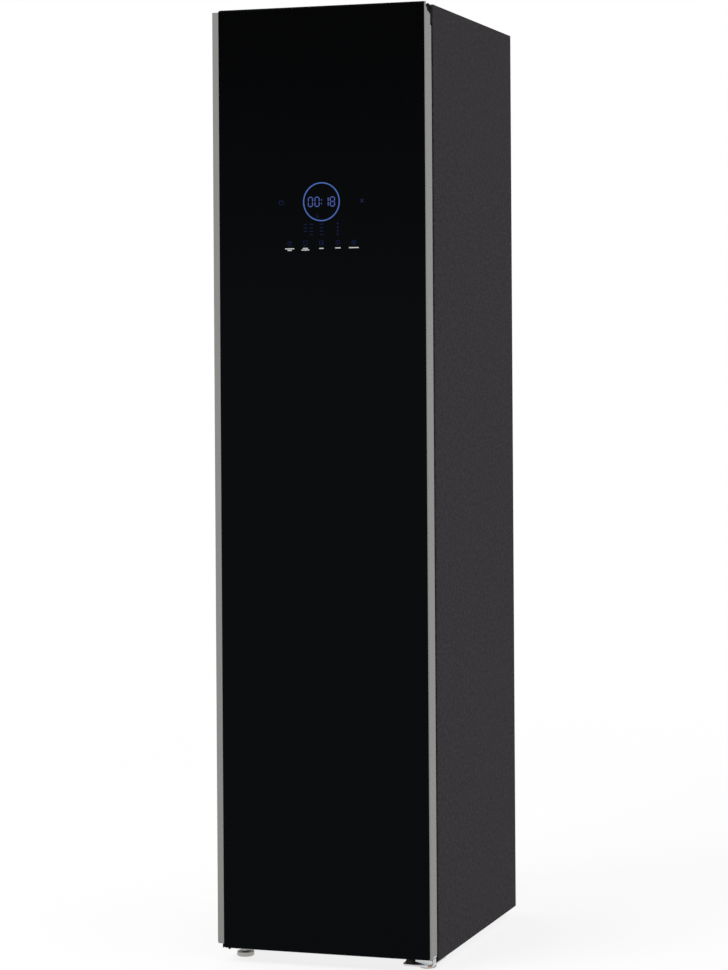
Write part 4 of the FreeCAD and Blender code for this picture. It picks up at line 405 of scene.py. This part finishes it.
def add_plate(mesh, outline):
    """A thin raised plate on the glass with this outline, in millimetres from the dial's centre."""
    front = [mesh.verts.new(on_glass(x, z, MARK_RISE)) for x, z in outline]
    back = [mesh.verts.new(on_glass(x, z)) for x, z in outline]
    mesh.faces.new(front)
    join(mesh, back, front)


def add_band(mesh, inner, outer, closed=True):
    """A thin raised band on the glass between two lines of as many points."""
    loops = [[mesh.verts.new(on_glass(x, z, rise)) for x, z in line]
             for line, rise in ((outer, 0.0), (outer, MARK_RISE), (inner, MARK_RISE), (inner, 0.0))]
    for near, far in zip(loops, loops[1:]):
        join(mesh, near, far, closed)
    if not closed:
        for end in (0, -1):
            mesh.faces.new([loop[end] for loop in loops])


def add_circle(mesh, centre, radius, line, count=64):
    """A ring with its line inside the radius."""
    add_band(mesh, ring_points(centre, radius - line, count), ring_points(centre, radius, count))


def add_arc(mesh, centre, radius, line, start, end, count=24):
    """Part of a ring, with angles in degrees."""
    add_band(mesh, arc_points(centre, radius - line, start, end, count),
             arc_points(centre, radius, start, end, count), closed=False)


def add_disc(mesh, centre, radius, count=20):
    """A round dot."""
    add_plate(mesh, ring_points(centre, radius, count))


def add_bar(mesh, centre, wide, high, count=8):
    """A bar with round ends."""
    bend = high / 2
    reach = wide / 2 - bend
    left = arc_points((centre[0] - reach, centre[1]), bend, 90, 270, count)
    right = arc_points((centre[0] + reach, centre[1]), bend, -90, 90, count)
    add_plate(mesh, left + right)


def add_stroke(mesh, start, end, line):
    """A straight stroke with pointed ends, as a digit's segment has."""
    first, last = Vector(start), Vector(end)
    along = (last - first).normalized() * (line / 2)
    side = Vector((-along.y, along.x))
    add_plate(mesh, (
        first, first + along + side, last - along + side,
        last, last - along - side, first + along - side,
    ))


def add_outline(mesh, centre, corners):
    """A closed line whose outer corners are these, in millimetres from a centre."""
    outer = [Vector(corner) for corner in corners]
    inner = [corner * (1 - OUTLINE_LINE * OUTLINE_MITRE / corner.length) for corner in outer]
    add_band(mesh, [centre + corner for corner in inner], [centre + corner for corner in outer])


# ---------------------------------------------------------------- the display's marks
# All of these are in millimetres, to the right of and above the dial's centre or the sign's own.

RING_ROUND, RING_LINE = 37.4, 2.1

# Each segment's two ends: across and up, as shares of a digit's width and height from its centre.
SEGMENTS = {
    "top": ((-0.5, 0.5), (0.5, 0.5)),
    "middle": ((-0.5, 0.0), (0.5, 0.0)),
    "bottom": ((-0.5, -0.5), (0.5, -0.5)),
    "upper_left": ((-0.5, 0.5), (-0.5, 0.0)),
    "upper_right": ((0.5, 0.5), (0.5, 0.0)),
    "lower_left": ((-0.5, 0.0), (-0.5, -0.5)),
    "lower_right": ((0.5, 0.0), (0.5, -0.5)),
}

# The segments that stay dark in each digit, and the clock's digits with how far across each is.
UNLIT = {"0": {"middle"}, "8": set(), "1": {"top", "middle", "bottom", "upper_right", "lower_right"}}
DIGITS = (("0", -22.4), ("0", -8.9), ("1", 18.1), ("8", 22.5))
DIGIT_HIGH, DIGIT_WIDE, DIGIT_LINE = 17.6, 8.5, 1.8
SEGMENT_GAP = 0.35 * DIGIT_LINE
COLON_ACROSS, COLON_RISE, COLON_ROUND = 0.2, 3.4, 1.1

# Three columns of dashes, each with how many of the rows it fills, and one column of dots over a ring.
LEVEL_ROWS = (-43.0, -50.0, -56.5, -63.0)
LEVEL_COLUMNS = ((-33.0, 3), (-20.8, 4), (0.0, 4))
DASH_WIDE, DASH_HIGH = 7.4, 1.0
DOTS_ACROSS, DOT_LIFT, DOT_ROUND = 32.8, 0.6, 1.4
LOWEST_ROUND, LOWEST_LINE = 2.4, 0.5

# The keys' signs: where they are, and their sizes about their own centres, with turns in degrees.
KEY_LEVEL, KEY_PLACES = -79.2, (-65.6, -33.4, -0.5, 33.0, 65.5)
POWER_PLACE, LAMP_PLACE, POINTER_PLACE = (-82.4, 0.0), (82.3, 0.2), (-8.3, -26.0)
SIGN_ROUND, SIGN_LINE, HAND_LINE = 4.5, 0.6, 0.9
CLOCK_HANDS = ((0.0, 3.1), (-2.6, -1.0))
BASKET = ((-4.4, 4.3), (4.4, 4.3), (2.9, -4.3), (-2.9, -4.3))
SQUARE = ((-4.0, 4.0), (4.0, 4.0), (4.0, -4.0), (-4.0, -4.0))
SQUARE_DOT, SQUARE_DOT_ROUND = (1.2, -1.0), 1.2
SHIELD = ((-3.9, 4.1), (3.9, 4.1), (3.6, -1.4), (0.0, -4.4), (-3.6, -1.4))
STEAM_REACH, STEAM_LINE = 2.2, 1.9
POWER_ROUND, POWER_LINE, POWER_START, POWER_END = 4.9, 0.8, 112, 428
POWER_BAR_LOW, POWER_BAR_HIGH = 0.9, 5.2
RAY_START, RAY_END, RAY_LINE, RAY_TURNS = 1.2, 5.0, 1.2, (45, 135, 225, 315)
LAMP_ROUND = 1.9
POINTER = ((0.0, 4.6), (3.2, -3.6), (-3.2, -3.6))

# Each caption's bar: across, up from the captions' level, and how wide it is.
CAPTION_LEVEL, CAPTION_HIGH = -90.2, 2.0
CAPTION_BARS = (
    (-65.6, 0.8, 19.3), (-65.6, -2.2, 8.8), (-33.5, 1.0, 10.4), (-33.5, -2.0, 16.4),
    (-0.5, 0.5, 9.2), (33.0, 0.9, 11.3), (65.3, 0.9, 20.2),
)


def display_ring(look):
    """The lit ring round the clock."""
    mesh = bmesh.new()
    add_circle(mesh, (0.0, 0.0), RING_ROUND, RING_LINE, count=128)
    finished("display_ring", mesh, "door", look)


def display_digits(look):
    """The four lit digits of the clock and the two points between them."""
    mesh = bmesh.new()
    for digit, across in DIGITS:
        for segment, ends in SEGMENTS.items():
            if segment in UNLIT[digit]:
                continue
            first, last = (Vector((across + x * DIGIT_WIDE, z * DIGIT_HIGH)) for x, z in ends)
            inward = (last - first).normalized() * SEGMENT_GAP
            add_stroke(mesh, first + inward, last - inward, DIGIT_LINE)
    for side in (-1, 1):
        add_disc(mesh, (COLON_ACROSS, side * COLON_RISE), COLON_ROUND)
    finished("display_digits", mesh, "door", look)


def display_levels(look):
    """Columns of short dashes and dots under the dial, one for each setting."""
    mesh = bmesh.new()
    for across, shown in LEVEL_COLUMNS:
        for up in LEVEL_ROWS[:shown]:
            add_bar(mesh, (across, up), DASH_WIDE, DASH_HIGH)
    for up in LEVEL_ROWS[:-1]:
        add_disc(mesh, (DOTS_ACROSS, up + DOT_LIFT), DOT_ROUND)
    add_circle(mesh, (DOTS_ACROSS, LEVEL_ROWS[-1]), LOWEST_ROUND, LOWEST_LINE, count=32)
    finished("display_levels", mesh, "door", look)


def clock_sign(mesh, centre):
    """A clock's face with two hands."""
    add_circle(mesh, centre, SIGN_ROUND, SIGN_LINE)
    for hand in CLOCK_HANDS:
        add_stroke(mesh, centre, centre + Vector(hand), HAND_LINE)


def square_sign(mesh, centre):
    """A square with a dot in it."""
    add_outline(mesh, centre, SQUARE)
    add_disc(mesh, centre + Vector(SQUARE_DOT), SQUARE_DOT_ROUND)


def steam_sign(mesh, centre):
    """A circle with an upright stroke."""
    reach = Vector((0.0, STEAM_REACH))
    add_circle(mesh, centre, SIGN_ROUND, SIGN_LINE)
    add_stroke(mesh, centre - reach, centre + reach, STEAM_LINE)


def power_sign(mesh, centre):
    """An open ring with a bar in its gap."""
    add_arc(mesh, centre, POWER_ROUND, POWER_LINE, POWER_START, POWER_END)
    low, high = (centre + Vector((0.0, up)) for up in (POWER_BAR_LOW, POWER_BAR_HIGH))
    add_stroke(mesh, low, high, HAND_LINE)


def lamp_sign(mesh, centre):
    """A dot with four rays."""
    add_disc(mesh, centre, LAMP_ROUND)
    for turn in RAY_TURNS:
        start, end = (around(centre, away, math.radians(turn)) for away in (RAY_START, RAY_END))
        add_stroke(mesh, start, end, RAY_LINE)


def display_keys(look):
    """Signs of the five keys and of the power and lamp keys beside the dial, and the dial's pointer."""
    mesh = bmesh.new()
    clock, basket, square, shield, steam = (Vector((across, KEY_LEVEL)) for across in KEY_PLACES)
    clock_sign(mesh, clock)
    add_outline(mesh, basket, BASKET)
    square_sign(mesh, square)
    add_outline(mesh, shield, SHIELD)
    steam_sign(mesh, steam)
    power_sign(mesh, Vector(POWER_PLACE))
    lamp_sign(mesh, Vector(LAMP_PLACE))
    add_outline(mesh, Vector(POINTER_PLACE), POINTER)
    finished("display_keys", mesh, "door", look)


def display_captions(look):
    """Plain bars where the keys' captions are; they carry no words."""
    mesh = bmesh.new()
    for across, up, wide in CAPTION_BARS:
        add_bar(mesh, (across, CAPTION_LEVEL + up), wide, CAPTION_HIGH)
    finished("display_captions", mesh, "door", look)


# ---------------------------------------------------------------- small fittings at the lower hinge

# The wear plate's outline and its screw, in millimetres behind and above the lower front edge of the
# hinge-side profile. The ease is the width of the plate's bevel, and how far it stays inside the profile.
HEEL_CORNERS = ((13.8, 0.2), (13.8, 3.2), (14.8, 4.2), (33.0, 4.2), (33.6, 3.6), (33.6, 0.2))
HEEL_SCREW, HEEL_SCREW_ROUND, HEEL_EASE = (18.0, 2.3), 1.7, 0.4

# The washer in millimetres: its foot from the pin's axis and the base's underside, its height, the
# radii of its hole and its rim, and the bevel of its rim. Points nearer than the last are made one.
WASHER_AWAY, WASHER_HIGH = (8.8, -17.4, -2.1), 2.25
WASHER_INNER, WASHER_OUTER, WASHER_EASE = 1.6, 4.6, 0.3
SAME_POINT = 0.001


def add_turned(mesh, centre, axis, outline, count=40):
    """A surface turned about an axis, from points of radius and distance along it; gives its rings."""
    turn = Vector(axis).to_track_quat("Z", "Y")
    loops = []
    for radius, along in outline:
        ring = ring_points((0.0, 0.0), radius, count)
        loops.append([mesh.verts.new(centre + turn @ Vector((x, y, along))) for x, y in ring])
    for near, far in zip(loops, loops[1:]):
        join(mesh, near, far)
    return loops


def add_dome(mesh, foot, axis, radius, rise, rings=5):
    """A shallow domed screw head on a foot point."""
    turns = [math.pi / 2 * k / rings for k in range(rings)]
    outline = [(radius * math.cos(turn), rise * math.sin(turn)) for turn in turns]
    loops = add_turned(mesh, foot, axis, outline)
    mesh.faces.new(loops[0])
    mesh.faces.new(loops[-1])


def heel_plate(look):
    """Bright wear plate let into the door's heel over the lower hinge, with its screw."""
    low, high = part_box("door_right_profile")
    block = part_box("door_bottom_cap")[1].x
    outer = high.x - HEEL_EASE * MM
    mesh = bmesh.new()
    hidden, shown = ([mesh.verts.new((x, low.y + back * MM, low.z + up * MM)) for back, up in HEEL_CORNERS]
                     for x in (block, outer))
    mesh.faces.new(hidden)
    mesh.faces.new(shown)
    join(mesh, hidden, shown)
    rim = [edge for edge in mesh.edges if all(corner in shown for corner in edge.verts)]
    bmesh.ops.bevel(mesh, geom=rim, offset=HEEL_EASE * MM, segments=2, affect="EDGES")
    back, up = HEEL_SCREW
    foot = Vector((outer, low.y + back * MM, low.z + up * MM))
    add_dome(mesh, foot, (1, 0, 0), HEEL_SCREW_ROUND * MM, high.x - outer)
    finished("heel_plate", mesh, "door", look)


def pin_washer(look):
    """Copper washer let into the front edge of the lower hinge plate."""
    low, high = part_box("lower_hinge_pin")
    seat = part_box("base_frame")[0].z
    centre = Vector(((low.x + high.x) / 2, (low.y + high.y) / 2, seat)) + Vector(WASHER_AWAY) * MM
    section = (WASHER_INNER, WASHER_OUTER, WASHER_HIGH, WASHER_EASE)
    inner, outer, rise, ease = (size * MM for size in section)
    outline = (
        (inner, 0.0), (outer, 0.0), (outer, rise - ease),
        (outer - ease, rise), (inner, rise), (inner, 0.0),
    )
    mesh = bmesh.new()
    add_turned(mesh, centre, (0, 0, 1), outline)
    bmesh.ops.remove_doubles(mesh, verts=mesh.verts, dist=SAME_POINT * MM)
    finished("pin_washer", mesh, "cabinet", look)


# ---------------------------------------------------------------- stage, light and camera

# The floor, in metres: half its side, and the distances from the object's middle between which it turns
# plain white. The glow is how much of that white it has close to the object, where it keeps the shadow.
FLOOR_REACH, FLOOR_FADE_START, FLOOR_FADE_END, FLOOR_GLOW = 30.0, 1.6, 4.5, 0.8
FLOOR_COLOUR = (0.93, 0.93, 0.93, 1.0)

# The sky's strength as light on the object, and the lamp's place, target and side in metres and its watts.
SKY_LIGHT = 0.9
KEY_LIGHT_PLACE, KEY_LIGHT_TARGET = Vector((-2.2, -3.6, 4.2)), Vector((0.0, 0.0, 0.9))
KEY_LIGHT_SIDE, KEY_LIGHT_POWER = 3.0, 135.0

# The camera was solved from the photograph's corners and long edges. Its place is in metres, its focal
# length and optical axis in the photograph's pixels, and its sensor's width in millimetres.
PICTURE_WIDE, PICTURE_HIGH = 728, 970
CAMERA_PLACE = Vector((1.7667, -5.1533, 1.1722))
CAMERA_TURN, CAMERA_ROLL = math.radians(17.419), -0.0063
FOCAL_PIXELS, AXIS_ACROSS, AXIS_DOWN = 2687.6, 440.1, 358.0
SENSOR = 36.0


def white_floor():
    """Pale matt floor that turns to plain white away from the object."""
    floor = bpy.data.materials.new("stage_floor")
    floor.use_nodes = True
    tree = floor.node_tree
    tree.nodes.clear()
    place = add_node(tree, "ShaderNodeTexCoord").outputs["Object"]
    away = add_node(tree, "ShaderNodeVectorMath", {"operation": "LENGTH"}, Vector=place).outputs["Value"]
    fade = add_node(tree, "ShaderNodeMapRange", {"interpolation_type": "SMOOTHSTEP"}, Value=away, **{
        "From Min": FLOOR_FADE_START, "From Max": FLOOR_FADE_END, "To Min": FLOOR_GLOW,
    }).outputs["Result"]
    matt = add_node(tree, "ShaderNodeBsdfDiffuse", Color=FLOOR_COLOUR).outputs["BSDF"]
    white = add_node(tree, "ShaderNodeEmission", Color=WHITE, Strength=1.0).outputs["Emission"]
    mix = add_node(tree, "ShaderNodeMixShader", Fac=fade)
    put(tree, mix, {1: matt, 2: white})
    add_node(tree, "ShaderNodeOutputMaterial", Surface=mix.outputs["Shader"])
    return floor


def lay_floor():
    """One large flat floor under the object."""
    mesh = bmesh.new()
    bmesh.ops.create_grid(mesh, x_segments=2, y_segments=2, size=FLOOR_REACH)
    data = bpy.data.meshes.new("stage_floor")
    mesh.to_mesh(data)
    mesh.free()
    data.materials.append(white_floor())
    floor = bpy.data.objects.new("stage_floor", data)
    bpy.context.scene.collection.objects.link(floor)


def light_world():
    """White for the camera, reflections and seeing through; a little less as light on the object."""
    world = bpy.data.worlds.new("studio")
    bpy.context.scene.world = world
    world.use_nodes = True
    tree = world.node_tree
    rays = add_node(tree, "ShaderNodeLightPath").outputs
    plain = rays["Is Camera Ray"]
    for name in ("Is Glossy Ray", "Is Transmission Ray"):
        either = add_node(tree, "ShaderNodeMath", {"operation": "MAXIMUM"})
        put(tree, either, {0: plain, 1: rays[name]})
        plain = either.outputs["Value"]
    strength = add_node(tree, "ShaderNodeMapRange", Value=plain, **{
        "To Min": SKY_LIGHT, "To Max": 1.0,
    }).outputs["Result"]
    put(tree, tree.nodes["Background"], {"Color": WHITE, "Strength": strength})


def add_key_light():
    """A square soft lamp, high at the front left, that is neither seen nor reflected itself."""
    data = bpy.data.lights.new("key", "AREA")
    data.size = KEY_LIGHT_SIDE
    data.energy = KEY_LIGHT_POWER
    lamp = bpy.data.objects.new("key", data)
    lamp.location = KEY_LIGHT_PLACE
    lamp.rotation_euler = (KEY_LIGHT_TARGET - KEY_LIGHT_PLACE).to_track_quat("-Z", "Y").to_euler()
    bpy.context.scene.collection.objects.link(lamp)
    lamp.visible_camera = False
    lamp.visible_glossy = False


def set_camera():
    """The photograph's camera: it looks level, from right of the door, with its axis off the middle."""
    data = bpy.data.cameras.new("camera")
    data.sensor_width = SENSOR
    long_side = max(PICTURE_WIDE, PICTURE_HIGH)
    data.lens = FOCAL_PIXELS * SENSOR / long_side
    data.shift_x = (PICTURE_WIDE / 2 - AXIS_ACROSS) / long_side
    data.shift_y = (AXIS_DOWN - PICTURE_HIGH / 2) / long_side
    camera = bpy.data.objects.new("camera", data)
    level = Matrix.Rotation(CAMERA_TURN, 4, "Z") @ Matrix.Rotation(math.pi / 2, 4, "X")
    camera.matrix_world = Matrix.Translation(CAMERA_PLACE) @ level @ Matrix.Rotation(CAMERA_ROLL, 4, "Z")
    bpy.context.scene.collection.objects.link(camera)
    bpy.context.scene.camera = camera


def dress_nodes(looks):
    """Every solid gets the material of the slot that the record names for it."""
    for row in frame["record"]["subparts"]:
        node = frame["nodes"][row["node"]]
        node.data.materials.clear()
        node.data.materials.append(looks[row["material_slot"]])


def add_display():
    """All marks on the glass, each group with its own brightness."""
    signs = lit("lit_signs", seen(30, 40, 80)).material
    display_ring(lit("lit_ring", seen(78, 109, 183)).material)
    display_digits(lit("lit_digits", seen(78, 97, 165)).material)
    display_levels(signs)
    display_keys(signs)
    display_captions(printed().material)


def main():
    """The dressed object on its stage."""
    bpy.context.scene.view_settings.view_transform = "Standard"
    looks = make_looks()
    dress_nodes(looks)
    add_display()
    heel_plate(looks["hinge_steel"])
    pin_washer(brushed("washer_copper", seen(150, 114, 90), 0.45, metallic=0.3).material)
    lay_floor()
    light_world()
    add_key_light()
    set_camera()


main()
bpy.context.view_layer.update()
